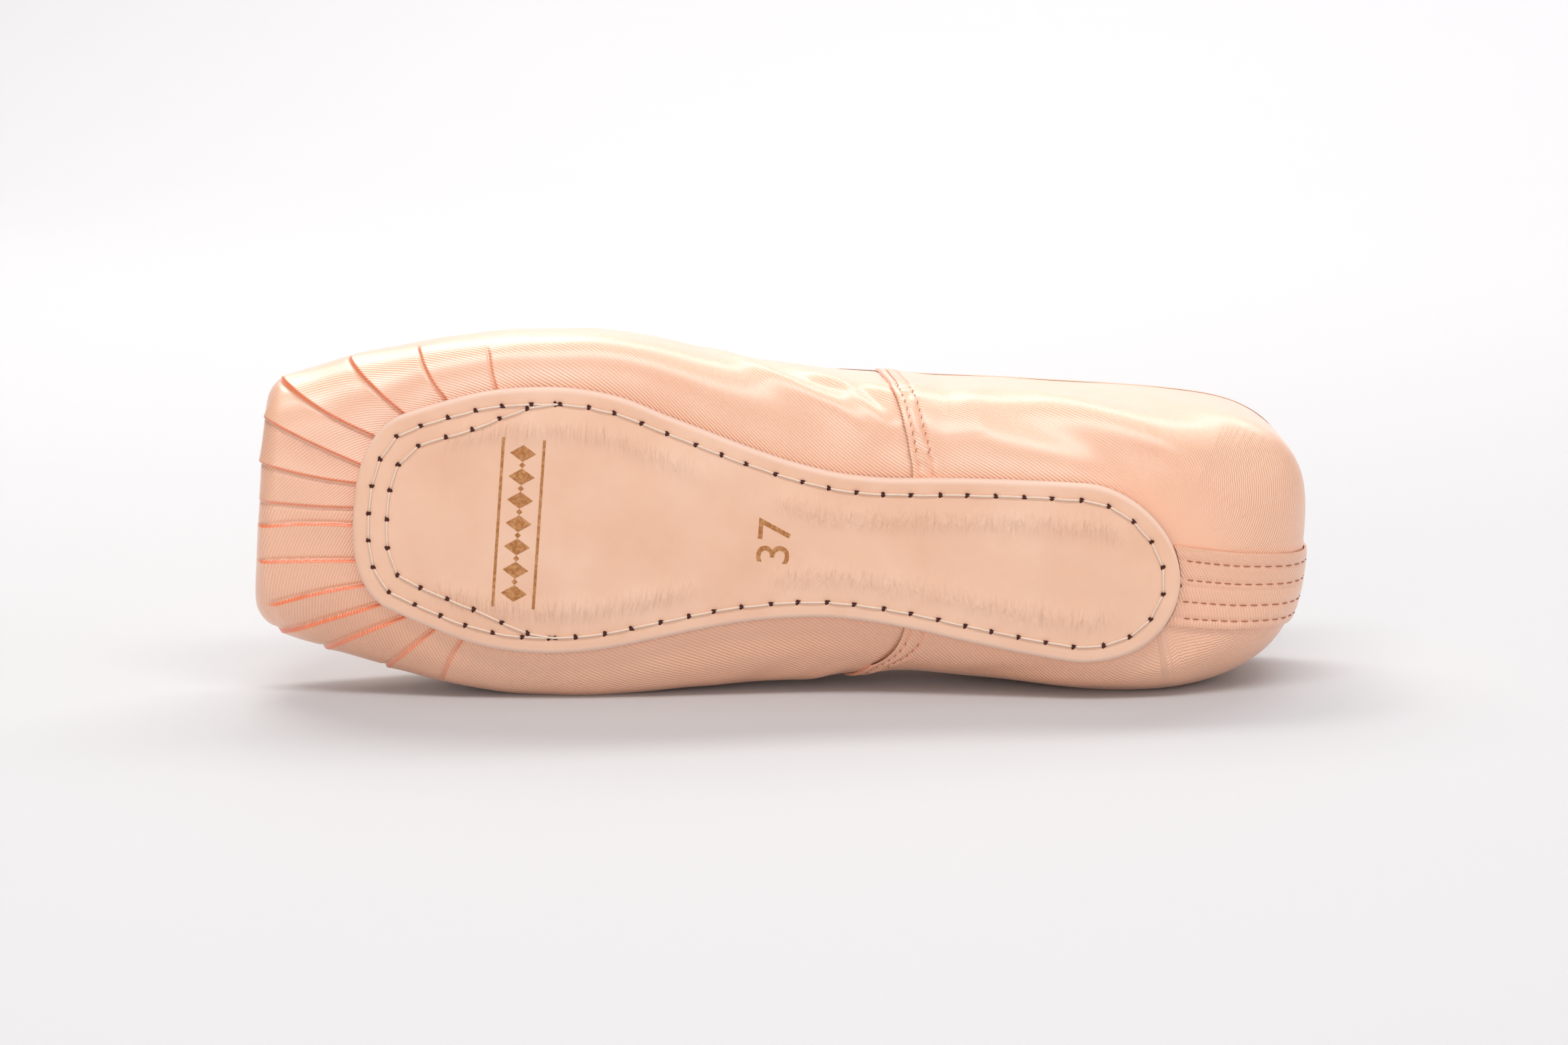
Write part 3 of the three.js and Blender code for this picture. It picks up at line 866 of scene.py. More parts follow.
class SHOE_OT_quarter(bpy.types.Operator):
    """Satin quarters from the side seams round the heel, their folded front edge over the vamp"""

    bl_idname = "shoe.quarter"
    bl_label = "Quarters"

    def execute(self, context):
        side = columns_between(QUARTER_START, HEEL_AXIS, 0.5, 1.5)
        columns = last_columns(
            (side, FLOOR_SIDE),
            (HEEL_AXIS, np.radians(np.linspace(90, -90, 190))[1:-1]),
            (side[::-1], AWAY_SIDE),
        )
        angles = profile_angles(columns, 66, 30, outside, SATIN_RIM, 4.0)
        points = column_points(columns, angles)
        x0, turn = columns[:, :1], columns[:, 1:]
        share = np.clip((HEEL_AXIS - x0) / (HEEL_AXIS - QUARTER_START), 0, 1)
        on_side = (np.abs(np.cos(turn)) < 1e-6) * share
        shift = on_side * (seam_at(points[..., 2], -points[..., 1]) - QUARTER_START)
        points = column_points(columns, angles, outside, shift)
        piece = grid_piece("quarter_satin", points, cloth_lengths(points) * (-1, 1))
        cut_at_topline(piece)
        merged(piece)

        def height(x, v, z):
            e = x - seam_at(z, v)
            body = 0.10 + 0.65 * np.exp(-((np.maximum(e - 1.5, 0) / 5.5) ** 2))
            lift = body * np.sqrt(np.clip(1 - (1 - np.clip(e / 0.55, 0, 1)) ** 2, 0, 1))
            up_seam = np.where(v > 0, 1, -1) * (np.abs(v) * 0.7 - z)
            for row in SEAM_ROWS:
                tug = 0.55 + 0.45 * np.cos(2 * math.pi * (up_seam + e * 0.35) / SEAM_PITCH)
                lift -= 0.42 * np.exp(-(((e - row) / 0.5) ** 2)) * tug
            between = np.exp(-(((e - 3.1) / 1.7) ** 2))
            lift += 0.16 * between * np.cos(2 * math.pi * (up_seam + e * 0.5) / SEAM_PITCH)
            lift += creases(x, v, z, QUARTER_CREASES) * near_topline(x, z)
            uneven = 0.08 * np.sin(x * 0.21 + v * 0.13) * np.sin(v * 0.19 - z * 0.12)
            return lift + uneven * near_topline(x, z)

        points = places(piece)
        e = points[:, 0] - seam_at(points[:, 2], -points[:, 1])
        # painted shade along the folded front edge and in both stitch rows
        deep = 0.55 * np.exp(-((e / 0.18) ** 2))
        for row in SEAM_ROWS:
            deep = np.maximum(deep, 0.28 * np.exp(-(((e - row) / 0.3) ** 2)))
        raised(piece, height)
        note(piece, "calm", calmed(points, HEEL_AXIS, 33) * (points[:, 0] > 185))
        note(piece, "shade", deep)
        dress(piece, satin_material(), ["upper"])
        return {"FINISHED"}


class SHOE_OT_lining(bpy.types.Operator):
    """Cotton lining on the inside of the box, sides and heel"""

    bl_idname = "shoe.lining"
    bl_label = "Lining"

    def execute(self, context):
        floor_side = columns_between(HEEL_AXIS, TOE_AXIS, 2.0)
        columns = last_columns(
            (floor_side, FLOOR_SIDE),
            (TOE_AXIS, np.radians(np.linspace(90, 270, 90))[1:-1]),
            (columns_between(TOE_AXIS, HEEL_AXIS, 2.0), AWAY_SIDE),
            (HEEL_AXIS, np.radians(np.linspace(-90, 90, 70))[1:-1]),
            (floor_side[:1], FLOOR_SIDE),
        )
        points = column_points(columns, profile_angles(columns, 26, 26, WALL, 9.0), WALL)
        piece = grid_piece("cotton_lining", points, cloth_lengths(points))
        cut_at_topline(piece, -0.5)
        merged(piece)
        with editing(piece):
            bpy.ops.mesh.flip_normals()
        raised(piece, lambda x, v, z: 0.12 * np.sin(x * 0.4) * np.sin(z * 0.35 + v * 0.2))
        cotton = plain_cloth("cotton_drill", "#f0dac8", "#e2c3ac", 0.9, 0.85)
        dress(piece, cotton, ["upper"])
        return {"FINISHED"}


COLLAR_X, COLLAR_Y = 165, -1.5  # the middle of the opening
RIB_PITCH = 0.95
# Share of the wall, further inset and height over the topline, round each strip.
TURNED_EDGE = (
    (0, -0.16, -1.5), (0, -0.28, -1.1), (0, -0.30, -0.3), (0, -0.12, 0.16), (0.25, 0, 0.34),
    (0.55, 0, 0.36), (0.85, 0, 0.22), (1, 0.02, -0.1), (1, 0.05, -1.4),
)
ELASTIC = (
    (1, 0.34, -6), (1, 0.30, -3), (1, 0.30, 0.6), (1, 0.34, 1.4), (1, 0.48, 1.8), (1, 0.72, 2.0),
    (1, 0.98, 1.9), (1, 1.18, 1.5), (1, 1.28, 0.8), (1, 1.30, -1), (1, 1.30, -3.5), (1, 1.22, -6),
    (1, 0.78, -6.2), (1, 0.34, -6),
)
ELASTIC_STEPS = 1500


def collar_loop(count):
    """Plan directions round the collar's opening, evenly spaced along its edge."""
    coarse = np.linspace(0, 2 * math.pi, 2000)
    length = run_length(collar_points(coarse, 0, 0, 0))
    even = np.linspace(0, length[-1], count + 1)
    return np.interp(even, length, coarse), even


def collar_points(turn, wall_share, extra, height):
    """Points round the opening, set in by a share of the wall plus a distance, over the topline."""

    def out(distance):
        x, y = COLLAR_X + np.cos(turn) * distance, COLLAR_Y + np.sin(turn) * distance
        return x, y, TOPLINE(x) + height

    near = np.zeros(len(turn))
    far = near + 120.0
    for _ in range(HALVINGS):
        middle = (near + far) / 2
        x, y, z = out(middle)
        within = inside(x, y, z, wall_share * WALL(x) + extra)
        near, far = np.where(within, middle, near), np.where(within, far, middle)
    return np.stack(out(near), -1)


def loop_strip(name, profile, count):
    """A closed strip round the opening from (wall share, extra inset, height) profile points."""
    turn, even = collar_loop(count)
    points = np.stack([collar_points(turn, *place) for place in profile])
    across = np.arange(len(profile), dtype=float)
    cloth = np.stack(np.broadcast_arrays(even[None, :], across[:, None]), -1)
    piece = grid_piece(name, points.transpose(1, 0, 2), cloth.transpose(1, 0, 2))
    merged(piece, 0.002)
    return piece


class SHOE_OT_collar(bpy.types.Operator):
    """The satin's turned top edge and the ribbed elastic inside it"""

    bl_idname = "shoe.collar"
    bl_label = "Collar"

    def execute(self, context):
        edge = loop_strip("satin_top_edge", TURNED_EDGE, 620)
        dress(edge, satin_material(), ["upper"])
        ribbed = loop_strip("ribbed_collar", ELASTIC, ELASTIC_STEPS)
        points = places(ribbed)
        turn = np.arctan2(points[:, 1] - COLLAR_Y, points[:, 0] - COLLAR_X) % (2 * math.pi)
        along = np.interp(turn, *collar_loop(ELASTIC_STEPS))
        ribs = 0.07 * np.cos(2 * math.pi * along / RIB_PITCH)
        put(ribbed, points + places(ribbed, "normal") * ribs[:, None])
        elastic = plain_cloth("ribbed_elastic", "#f3c9ae", "#dca17f", RIB_PITCH, 0.6)
        dress(ribbed, elastic, ["collar_binding"])
        return {"FINISHED"}


# ------------------------------------------------------------------ the soles


EDGE_STEP = 0.5
SPINE_SHORT = (16, 17)  # the face's middle line stops this far short of the sole's two ends
# Distance in from the edge and height below the upper, from the hidden side down to the round.
SOLE_SIDE = ((0.5, 0.0), (0.08, -0.05), (0.0, -0.25), (0.0, -0.8), (0.0, -1.3))
ROUND_IN, ROUND_DOWN = 1.1, 0.9
FACE_RINGS = (1.4, 1.8, 2.3, 2.8, 3.05, 3.2, 3.35, 3.5, 3.65, 3.8, 3.95, 4.1, 4.3, 4.7, 5.2)
SECOND_ROW_ENDS = (65.0, 69.8)  # where the forefoot's second row leaves the first, on each side
SECOND_ROW_EASE = 22.0
STITCH_SHARES = (0.07, 0.12, 0.25, 0.42, 0.6, 0.78, 0.88, 0.93)  # a stitch's points between holes
HOLE_SIDES = 9
STAMP_LIFT = 0.04


def sole_edges():
    """The tread's edge on each side, from toe to heel, in steps that are even along it."""
    t = np.linspace(0, 1, 4000)
    x = SOLE_START + (SOLE_END - SOLE_START) * (1 - np.cos(math.pi * t)) / 2
    length = np.concatenate([[0], np.cumsum(np.hypot(np.diff(x), np.diff(tread_half(x))))])
    count = int(length[-1] / EDGE_STEP)
    x = np.interp(np.linspace(0, length[-1], count + 1), length, x)
    half = tread_half(x)
    half[0] = half[-1] = 0
    middle = -TREAD_SWAY(x)
    return np.stack([x, middle - half], -1), np.stack([x, middle + half], -1)


def inward(edge, side):
    """Unit normals that point into the tread, along one side's edge."""
    way = np.gradient(edge, axis=0)
    way /= np.maximum(np.linalg.norm(way, axis=1), 1e-9)[:, None]
    normal = np.stack([-way[:, 1], way[:, 0]], -1) * side
    normal[0], normal[-1] = (1, 0), (-1, 0)
    return normal


def stitch_line(inset, spacing, ends=None, extra=0.0):
    """Holes along a row set in from the tread's edge, and the row: all round, or round the toe
    between two ends, where it eases in by an extra distance."""
    away, floor = sole_edges()
    loop = np.concatenate([away, floor[::-1][1:]])
    normals = np.concatenate([inward(away, 1), inward(floor, -1)[::-1][1:]])
    if ends is None:
        row = loop + normals * inset
    else:
        first = int(np.argmin(np.abs(away[:, 0] - ends[0])))
        last = len(loop) - 1 - int(np.argmin(np.abs(floor[:, 0] - ends[1])))
        keep = np.concatenate([np.arange(first, -1, -1), np.arange(len(loop) - 1, last, -1)])
        loop, normals = loop[keep], normals[keep]
        gone = run_length(loop)
        eased = smooth(gone / SECOND_ROW_EASE) * smooth((gone[-1] - gone) / SECOND_ROW_EASE)
        row = loop + normals * (inset + extra * eased)[:, None]
        kernel = np.ones(13) / 13
        row[6:-6] = np.stack([np.convolve(row[:, i], kernel, "valid") for i in (0, 1)], -1)
    gone = run_length(row)
    even = np.linspace(0, gone[-1], round(gone[-1] / spacing) + 1)
    dice = random.Random(11)
    even[1:-1] += [dice.uniform(-0.35, 0.35) for _ in even[1:-1]]
    return np.stack([np.interp(even, gone, row[:, i]) for i in (0, 1)], -1), row


def ground(x):
    """Height of the sole's walked-on face."""
    return BASE(x) - GAP - SOLE_THICK


def sole_rows():
    """Holes and line of the row all round, then of the second row in the forefoot."""
    sole = bpy.context.scene.shoe_sole
    inset, pitch, second = (
        1000 * size for size in (sole.row_inset, sole.stitch_pitch, sole.second_row)
    )
    return stitch_line(inset, pitch), stitch_line(inset, pitch, SECOND_ROW_ENDS, second)


def flat_distance(p, line):
    """Distance from points to a row of stitches, seen from below."""
    line = line[::4]
    return line_distance(
        p[:, 0], p[:, 1], np.zeros(len(p)), np.column_stack([line, np.zeros(len(line))])
    )[0]


class SHOE_OT_outsole(bpy.types.Operator):
    """Leather outsole with its bevelled edge, sunk stitch channel and pressed creases"""

    bl_idname = "shoe.outsole"
    bl_label = "Outsole"

    def execute(self, context):
        away, floor = sole_edges()
        loop = np.concatenate([away[:-1], floor[::-1]])
        normals = np.concatenate([inward(away, 1)[:-1], inward(floor, -1)[::-1]])
        spine_x = np.clip(loop[:, 0], SOLE_START + SPINE_SHORT[0], SOLE_END - SPINE_SHORT[1])
        spine = np.stack([spine_x, -TREAD_SWAY(spine_x)], -1)
        rings = [(loop + normals * d, drop, d) for d, drop in SOLE_SIDE]
        for a in np.linspace(0, math.pi / 2, 7):
            d = ROUND_IN * (1 - math.cos(a))
            rings.append((loop + normals * d, ROUND_DOWN - SOLE_THICK - ROUND_DOWN * math.sin(a), d))
        rings += [(loop + normals * d, -SOLE_THICK, d) for d in FACE_RINGS]
        rim = rings[-1][0]
        for t in np.linspace(0, 1, 46)[1:]:
            rings.append((rim + (spine - rim) * t, -SOLE_THICK, FACE_RINGS[-1] + 20 * t))
        points = np.zeros((len(rings), len(loop), 3))
        for i, (plan, drop, _) in enumerate(rings):
            points[i, :, :2] = plan
            points[i, :, 2] = BASE(plan[:, 0]) - GAP + drop
        depth = np.array([d for _, _, d in rings])
        cloth = np.stack(np.broadcast_arrays(run_length(loop)[:, None], depth[None, :]), -1)
        piece = grid_piece("leather_outsole", points.transpose(1, 0, 2), cloth)
        merged(piece, 0.01)

        p = places(piece)
        x, y = p[:, 0], p[:, 1]
        (outer, outer_line), (inner, inner_line) = sole_rows()
        near = np.minimum(flat_distance(p, outer_line), flat_distance(p, inner_line))
        holes = np.concatenate([outer, inner])
        to_hole = np.min(np.hypot(x[:, None] - holes[:, 0], y[:, None] - holes[:, 1]), axis=1)
        on_face = p[:, 2] < ground(x) + 0.5
        lift = -0.07 * np.exp(-((near / 0.6) ** 2)) - 0.18 * np.exp(-((to_hole / 0.7) ** 2))
        wave = np.sin(x * 0.19 + 1) * np.sin(y * 0.24) + 0.6 * np.sin(x * 0.07 - y * 0.16)
        p[:, 2] -= np.where(on_face, lift + 0.07 * wave, 0)
        put(piece, p)

        off_edge = np.maximum(tread_half(x), 0.1) - np.abs(y + TREAD_SWAY(x))
        band = np.exp(-(((off_edge - 9.5) / 2.6) ** 2))
        where = smooth((x - 38) / 8) * smooth((104 - x) / 12) * np.where(y < 0, 0.8, 1)
        where = np.maximum(where, smooth((x - 112) / 8) * smooth((196 - x) / 8) * 0.8)
        # painted shade round each hole's pit and along the stitch channel, stored as deep
        pressed = 0.10 * np.exp(-((near / 0.35) ** 2)) + 0.55 * np.exp(-((to_hole / 0.75) ** 2))
        note(piece, "creased", band * where * on_face)
        note(piece, "rim", np.clip(1.4 - off_edge, 0, 1))
        note(piece, "deep", np.clip(pressed, 0, 1) * on_face)
        dress(piece, sole_leather(), ["outsole"], 50)
        return {"FINISHED"}


class SHOE_OT_sole_stitching(bpy.types.Operator):
    """Awl holes, drawn as small dark dishes of painted shade, and cream thread in both rows of the sole
    """

    bl_idname = "shoe.sole_stitching"
    bl_label = "Sole stitching"

    def execute(self, context):
        tree = surface_of(bpy.data.objects["leather_outsole"])
        dice = random.Random(5)
        rows = [holes for holes, _ in sole_rows()]
        paths = []
        for row in rows:
            for a, b in zip(row[:-1], row[1:]):
                side = dice.uniform(-0.12, 0.12)
                across = np.array([-(b - a)[1], (b - a)[0]]) / max(np.linalg.norm(b - a), 1e-6)
                stitch = []
                for t in STITCH_SHARES:
                    spot = a + (b - a) * t + across * side * math.sin(math.pi * t)
                    stitch.append(on_sole(tree, *spot, 0.06 if abs(t - 0.5) > 0.4 else 0.20))
                paths.append(tuple(zip(*stitch)))
        dress(tubes("sole_thread", paths, 0.25), thread("waxed_cotton_thread", "#fff0e0", "#e6c0a4"))

        # each hole is a small dark dish of painted shade laid on the sole
        vertices, faces = [], []
        for spot in np.concatenate(rows):
            place, _ = on_sole(tree, *spot, 0.16)
            start = len(vertices)
            turn, long = dice.uniform(0, math.pi), dice.uniform(0.62, 0.74)
            for size, up in ((1, 0.0), (0.62, 0.02)):
                for k in range(HOLE_SIDES):
                    a = 2 * math.pi * k / HOLE_SIDES
                    ragged = size * (1 + 0.22 * math.sin(3 * a + turn * 4))
                    dx, dy = long * ragged * math.cos(a), 0.52 * ragged * math.sin(a)
                    vertices.append(place + np.array([
                        dx * math.cos(turn) - dy * math.sin(turn),
                        dx * math.sin(turn) + dy * math.cos(turn),
                        up,
                    ]))
            vertices.append(place + np.array([0, 0, 0.03]))
            middle = start + 2 * HOLE_SIDES
            for k in range(HOLE_SIDES):
                a, b = start + k, start + (k + 1) % HOLE_SIDES
                faces += [(a, a + HOLE_SIDES, b + HOLE_SIDES, b)]
                faces += [(a + HOLE_SIDES, middle, b + HOLE_SIDES)]
        piece = mesh_piece("painted_awl_hole_shade", vertices, faces)
        facing_down(piece)
        dress(piece, painted_hole_shade())
        return {"FINISHED"}


def facing_down(piece):
    """Turns every face towards the ground."""
    for polygon in piece.data.polygons:
        if polygon.normal.z > 0:
            polygon.flip()
    piece.data.update()


NUMBER_X, NUMBER_V = (119.6, 112.2), (-4.9, 5.3)  # where the size number's foot and sides stand
LINES_X, LINE_HALF, LINES_V = (54.3, 63.4), 0.32, 19.2
DIAMONDS_X, DIAMOND_PITCH = 58.85, 5.3
BIG_DIAMOND, SMALL_DIAMOND = (2.9, 1.9), (0.7, 0.7)


def diamonds(count, half_x, half_v):
    """Outlines of a row of diamonds across the sole, evenly spaced about its middle."""
    x = DIAMONDS_X
    for k in range(count):
        v = DIAMOND_PITCH * (k - (count - 1) / 2)
        yield (x - half_x, v), (x, v - half_v), (x + half_x, v), (x, v + half_v)


class SHOE_OT_stamps(bpy.types.Operator):
    """Plain size number and a border of diamonds stamped on the sole"""

    bl_idname = "shoe.stamps"
    bl_label = "Stamps"

    def execute(self, context):
        material = foil()
        tree = surface_of(bpy.data.objects["leather_outsole"])
        deselect()
        bpy.ops.object.text_add(location=(0, 0, 0))
        text = bpy.context.object.data
        text.body = context.scene.shoe_sole.size_number
        text.resolution_u = 6
        bpy.ops.object.convert(target="MESH")
        number = bpy.context.object
        number.name = number.data.name = "size_number"
        points = places(number)
        low, high = points.min(0), points.max(0)
        share = (points - low) / np.maximum(high - low, 1e-6)
        x = NUMBER_X[0] + (NUMBER_X[1] - NUMBER_X[0]) * share[:, 1]
        v = NUMBER_V[0] + (NUMBER_V[1] - NUMBER_V[0]) * share[:, 0]
        put(number, np.array([on_sole(tree, *spot, STAMP_LIFT)[0] for spot in zip(x, -v)]))
        facing_down(number)
        dress(number, material)

        outlines = []
        for x in LINES_X:
            for a, b in itertools.pairwise(np.linspace(-LINES_V, LINES_V, 13)):
                left, right = x - LINE_HALF, x + LINE_HALF
                outlines.append(((left, a), (right, a), (right, b), (left, b)))
        outlines += [*diamonds(7, *BIG_DIAMOND), *diamonds(6, *SMALL_DIAMOND)]
        spots = [on_sole(tree, x, -v, STAMP_LIFT)[0] for outline in outlines for x, v in outline]
        faces = [tuple(range(i, i + 4)) for i in range(0, len(spots), 4)]
        border = mesh_piece("diamond_border", spots, faces)
        facing_down(border)
        dress(border, material)
        return {"FINISHED"}


INSOLE_START, INSOLE_END, INSOLE_THICK = 11, 212, 1.5
# Share of the half width and height, round the insole's section.
INSOLE_SECTION = (
    (-1, 0.0), (-1, 1.2), (-0.97, INSOLE_THICK), (-0.5, INSOLE_THICK), (0, INSOLE_THICK),
    (0.5, INSOLE_THICK), (0.97, INSOLE_THICK), (1, 1.2), (1, 0.0), (-1, 0.0),
)


class SHOE_OT_insole(bpy.types.Operator):
    """Canvas-covered insole inside the shoe"""

    bl_idname = "shoe.insole"
    bl_label = "Insole"

    def execute(self, context):
        t = np.linspace(0, 1, 110)
        run = INSOLE_END - INSOLE_START - 0.04
        x = INSOLE_START + 0.02 + run * (1 - np.cos(math.pi * t)) / 2
        ends = round_off(x, 190, 2, INSOLE_END) * round_off(x, 20, 3, INSOLE_START)
        _, _, under, _, flat, _, _ = sizes(x, WALL(x))
        half = np.maximum((flat - 0.8) * ends, 0.02)
        points = np.stack([
            np.stack([x, -TREAD_SWAY(x) + half * across, under + GAP + up], -1)
            for across, up in INSOLE_SECTION
        ], 1)
        piece = grid_piece("canvas_insole", points, points[..., :2])
        with editing(piece):
            bpy.ops.mesh.remove_doubles(threshold=0.001)
            bpy.ops.mesh.fill_holes(sides=0)
            bpy.ops.mesh.normals_make_consistent(inside=False)
        canvas = plain_cloth("insole_canvas", "#efdcca", "#d9bfa6", 1.1, 0.85)
        dress(piece, canvas, ["insole"], 40)
        return {"FINISHED"}


# ------------------------------------------------------------------ heel strip and seams

STRIP_MIDDLE = ((-80, -3.4), (-40, -4.6), (-15, -4.9), (0, -4.6), (60, -4.4))  # elevation, v
STRIP_HALF = ((-75, 9.2), (0, 8.4))  # elevation, half width
STRIP_ROWS = (0.66, 0.19, -0.36, -0.78)
STRIP_AXIS_HEIGHT = 25  # the elevations are seen from here, on the heel's axis
STRIP_FOOT, STRIP_TOP = 3.2, (236.5, 55.2)
STRIP_EDGE = math.pi / 2 * 0.94
CLOTH_THICK = 0.5


def strip_points(rise, q, lift):
    """Points of the heel strip at an elevation from the heel's axis and a share of its half width."""
    middle = np.interp(np.degrees(rise), *zip(*STRIP_MIDDLE))
    half = np.interp(np.degrees(rise), *zip(*STRIP_HALF))
    v = middle + q * half
    origin = np.stack([HEEL_AXIS + 0 * v, -v, STRIP_AXIS_HEIGHT + 0 * v], -1)
    way = np.stack([np.cos(rise), 0 * v, np.sin(rise)], -1)
    return reach(origin, way, -lift)


def strip_foot(v):
    """Elevation at which the strip comes out from under the leather sole."""
    x = np.linspace(188, SOLE_END, 400)
    outside_sole = np.nonzero(tread_half(x) + 0.35 < np.abs(-v + TREAD_SWAY(x)))[0]
    exit_x = x[outside_sole[0]] if len(outside_sole) else SOLE_END + 0.4
    return math.atan2(STRIP_FOOT - STRIP_AXIS_HEIGHT, exit_x + 0.35 - HEEL_AXIS)


class SHOE_OT_heel_strip(bpy.types.Operator):
    """Folded satin strip up the back of the heel, held by four rows of stitches"""

    bl_idname = "shoe.heel_strip"
    bl_label = "Heel strip"

    def execute(self, context):
        q = np.sin(np.linspace(-1, 1, 61) * STRIP_EDGE) / math.sin(STRIP_EDGE)
        feet = np.array([strip_foot(STRIP_MIDDLE[0][1] + share * STRIP_HALF[0][1]) for share in q])
        top = math.atan2(STRIP_TOP[1] - STRIP_AXIS_HEIGHT, STRIP_TOP[0] - HEEL_AXIS)
        t = np.linspace(0, 1, 170)
        rise = feet[:, None] * (1 - t) + top * t
        share = np.broadcast_to(q[:, None], rise.shape)
        edge = 1 - np.abs(share) ** 14
        wave = 0.10 * np.sin(np.degrees(rise) * 0.13 + share * 2)
        fold = 0.35 * np.exp(-(((np.degrees(rise) + 19) / 1.6) ** 2))
        lift = 0.85 + 0.25 * edge + wave * 0.5 + fold * 0.4
        for row in STRIP_ROWS:
            lift -= 0.22 * np.exp(-(((share - row) / 0.06) ** 2))
        points = strip_points(rise, share, lift)
        piece = grid_piece("heel_strip_satin", points, cloth_lengths(points))
        merged(piece, 0.001)
        choose(piece)
        thick = piece.modifiers.new("turned cloth", "SOLIDIFY")
        thick.thickness, thick.offset, thick.use_rim = CLOTH_THICK, -1, True
        bpy.ops.object.modifier_apply(modifier=thick.name)
        dress(piece, satin_material(), ["heel_strip"], 60)

        tree = surface_of(piece)
        paths = []
        for number, row in enumerate(STRIP_ROWS):
            for start in np.arange(-68 + number % 2 * 1.5, 36.1, 5.0):
                stitch = []
                for step in (0, 0.85, 1.7, 2.55, 3.4):
                    rise = np.array(math.radians(start + step))
                    near = strip_points(rise, np.array(row), np.array(1.0))
                    stitch.append(on_cloth(tree, near, -0.06 if step in (0, 3.4) else 0.07))
                paths.append(tuple(zip(*stitch)))
        stitches = tubes("heel_strip_stitches", paths, 0.16)
        dress(stitches, thread("strip_thread", "#cf8a68", "#a9593c"))
        return {"FINISHED"}


def seam_row(side, row):
    """The last's surface along one row of a side seam, from the sole's edge up."""
    line = []
    for z in np.concatenate([np.linspace(5.6, 8, 6), np.linspace(8.8, 42, 30)]):
        x = float(seam_at(np.array(z), np.array(side))) + row
        _, _, under, *_ = sizes(np.array(x), 0)
        if z > float(under) + 0.3:
            origin = np.array([[x, -float(SWAY(x)), float(z)]])
            line.append(reach(origin, np.array([[0.0, -side, 0.0]]), 0.0)[0])
    return np.array(line)


class SHOE_OT_seam_stitches(bpy.types.Operator):
    """Two rows of small stitches behind the folded edge of each quarter"""

    bl_idname = "shoe.seam_stitches"
    bl_label = "Seam stitches"

    def execute(self, context):
        tree = surface_of(bpy.data.objects["quarter_satin"])
        paths = []
        for side, row in itertools.product((1, -1), SEAM_ROWS):
            line = seam_row(side, row)
            gone = run_length(line)
            for start in SEAM_PITCH * np.arange(int(gone[-1] / SEAM_PITCH)):
                stitch = []
                for s in (0, 0.3, 0.6, 0.9, 1.2):
                    near = [np.interp(start + s, gone, line[:, i]) for i in range(3)]
                    place, normal = on_cloth(tree, near, -0.05 if s in (0, 1.2) else 0.06)
                    stitch.append((place + np.array([0.35 * (s - 0.6), 0, 0]), normal))
                paths.append(tuple(zip(*stitch)))
        stitches = tubes("seam_stitches", paths, 0.13)
        dress(stitches, thread("seam_thread", "#e0a17f", "#b5714f"))
        return {"FINISHED"}


# ------------------------------------------------------------------ floor, lights and camera

FLOOR_FRONT, FLOOR_BACK, WALL_TOP, FLOOR_HALF = -2.5, 0.9, 2.6, 3.5
SWEEP = 0.6  # radius of the bend between floor and wall
CAMERA_TILT = math.radians(10.5)
CAMERA_AIM, CAMERA_AWAY = Vector((-0.00025, 0, 0.0358)), 1.002


def lamp(name, place, aim, size, power, colour="#ffffff"):
    data = bpy.data.lights.new(name, "AREA")
    data.shape, data.size, data.size_y = "RECTANGLE", size[0], size[1]
    data.energy = power
    data.color = linear(colour)[:3]
    made = bpy.data.objects.new(name, data)
    bpy.context.scene.collection.objects.link(made)
    made.location = place
    made.rotation_euler = (Vector(aim) - Vector(place)).to_track_quat("-Z", "Y").to_euler()


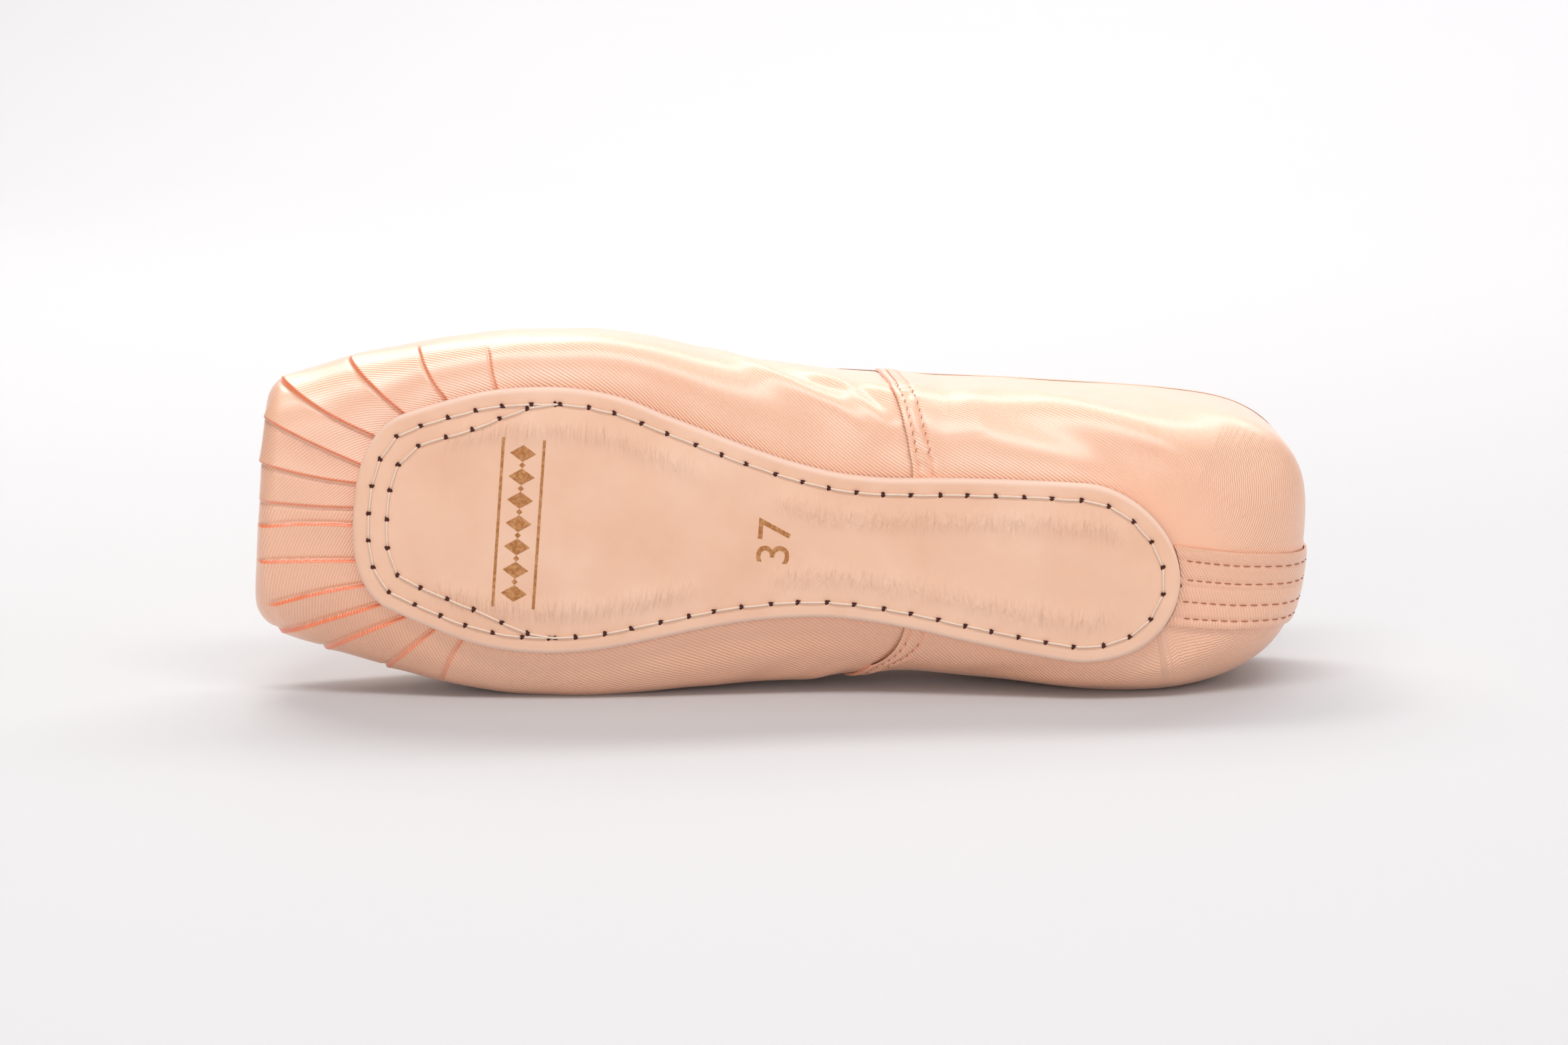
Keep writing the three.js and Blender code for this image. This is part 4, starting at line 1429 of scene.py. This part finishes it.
class SHOE_OT_stage(bpy.types.Operator):
    """Pale seamless floor, soft lights and the camera"""

    bl_idname = "shoe.stage"
    bl_label = "Stage"

    def execute(self, context):
        profile = [(FLOOR_FRONT, 0.0), (FLOOR_BACK, 0.0)]
        profile += [
            (FLOOR_BACK + SWEEP * math.sin(a), SWEEP - SWEEP * math.cos(a))
            for a in np.radians(np.arange(9, 91, 9))
        ]
        profile += [(FLOOR_BACK + SWEEP, WALL_TOP)]
        wide = np.linspace(-FLOOR_HALF, FLOOR_HALF, 3)
        sweep = grid_piece("paper_sweep", np.array([[(x, y, z) for y, z in profile] for x in wide]))
        choose(sweep)
        bpy.ops.object.shade_smooth()
        paper, tree = new_material("background_paper")
        own = node(tree, "TexCoord", "Object")
        cloud = node(tree, "TexNoise", "Fac", {"Vector": own, "Scale": 1.5})
        tone = node(tree, "Mix", "Result", {
            "Factor": cloud, "A": linear("#c8c7c8"), "B": linear("#cccbcc"),
        }, data_type="RGBA")
        finish_material(tree, {"Base Color": tone, "Roughness": 0.7, "Specular IOR Level": 0.2})
        sweep.data.materials.clear()
        sweep.data.materials.append(paper)

        world = bpy.data.worlds.new("studio")
        context.scene.world = world
        world.use_nodes = True
        background = world.node_tree.nodes["Background"].inputs
        background["Color"].default_value = linear("#f4f3f7")
        background["Strength"].default_value = 0.37

        lamp("back_softbox", (-0.35, 0.65, 0.9), (-0.02, 0.0, 0.05), (0.7, 0.5), 4.2, "#fffaf2")
        lamp("top_softbox", (0.0, -0.5, 0.95), (0.0, 0.0, 0.03), (1.1, 0.22), 6.5)
        lamp("front_fill", (-0.3, -1.5, 0.42), (0.0, 0.0, 0.05), (1.2, 0.5), 5.2)
        lamp("paper_wash", (0.4, 1.0, 1.5), (0.25, 1.5, 0.1), (2.4, 0.5), 29)
        lamp("right_fill", (1.0, -0.35, 0.4), (0.06, 0.0, 0.04), (0.9, 0.6), 1.5)

        camera = bpy.data.cameras.new("camera")
        camera.lens, camera.sensor_width = 100, 36
        camera.clip_start, camera.clip_end = 0.05, 20
        held = bpy.data.objects.new("camera", camera)
        context.scene.collection.objects.link(held)
        forward = Vector((0, math.cos(CAMERA_TILT), -math.sin(CAMERA_TILT)))
        held.location = CAMERA_AIM - forward * CAMERA_AWAY
        held.rotation_euler = forward.to_track_quat("-Z", "Y").to_euler()
        context.scene.camera = held
        context.scene.view_settings.view_transform = "Standard"
        return {"FINISHED"}


# ------------------------------------------------------------------ the add-on

PIECES = (
    SHOE_OT_vamp, SHOE_OT_quarter, SHOE_OT_lining, SHOE_OT_collar, SHOE_OT_outsole,
    SHOE_OT_sole_stitching, SHOE_OT_stamps, SHOE_OT_insole, SHOE_OT_heel_strip,
    SHOE_OT_seam_stitches, SHOE_OT_stage,
)


class SHOE_PT_panel(bpy.types.Panel):
    """Lists the shoe's pieces and finishes"""

    bl_label = "Pointe shoe"
    bl_idname = "SHOE_PT_panel"
    bl_space_type = "VIEW_3D"
    bl_region_type = "UI"
    bl_category = "Pointe shoe"

    def draw(self, context):
        for group in (context.scene.shoe_finish, context.scene.shoe_sole):
            for name in group.__annotations__:
                self.layout.prop(group, name)
        for piece in PIECES:
            self.layout.operator(piece.bl_idname)


CLASSES = (ShoeFinish, SoleSizes, *PIECES, SHOE_PT_panel)


def register():
    for each in CLASSES:
        bpy.utils.register_class(each)
    bpy.types.Scene.shoe_finish = bpy.props.PointerProperty(type=ShoeFinish)
    bpy.types.Scene.shoe_sole = bpy.props.PointerProperty(type=SoleSizes)


def unregister():
    del bpy.types.Scene.shoe_sole
    del bpy.types.Scene.shoe_finish
    for each in reversed(CLASSES):
        bpy.utils.unregister_class(each)


def main():
    register()
    bpy.ops.shoe.vamp()
    bpy.ops.shoe.quarter()
    bpy.ops.shoe.lining()
    bpy.ops.shoe.collar()
    bpy.ops.shoe.outsole()
    bpy.ops.shoe.sole_stitching()
    bpy.ops.shoe.stamps()
    bpy.ops.shoe.insole()
    bpy.ops.shoe.heel_strip()
    bpy.ops.shoe.seam_stitches()
    bpy.ops.shoe.stage()
    deselect()


if __name__ == "__main__":
    main()
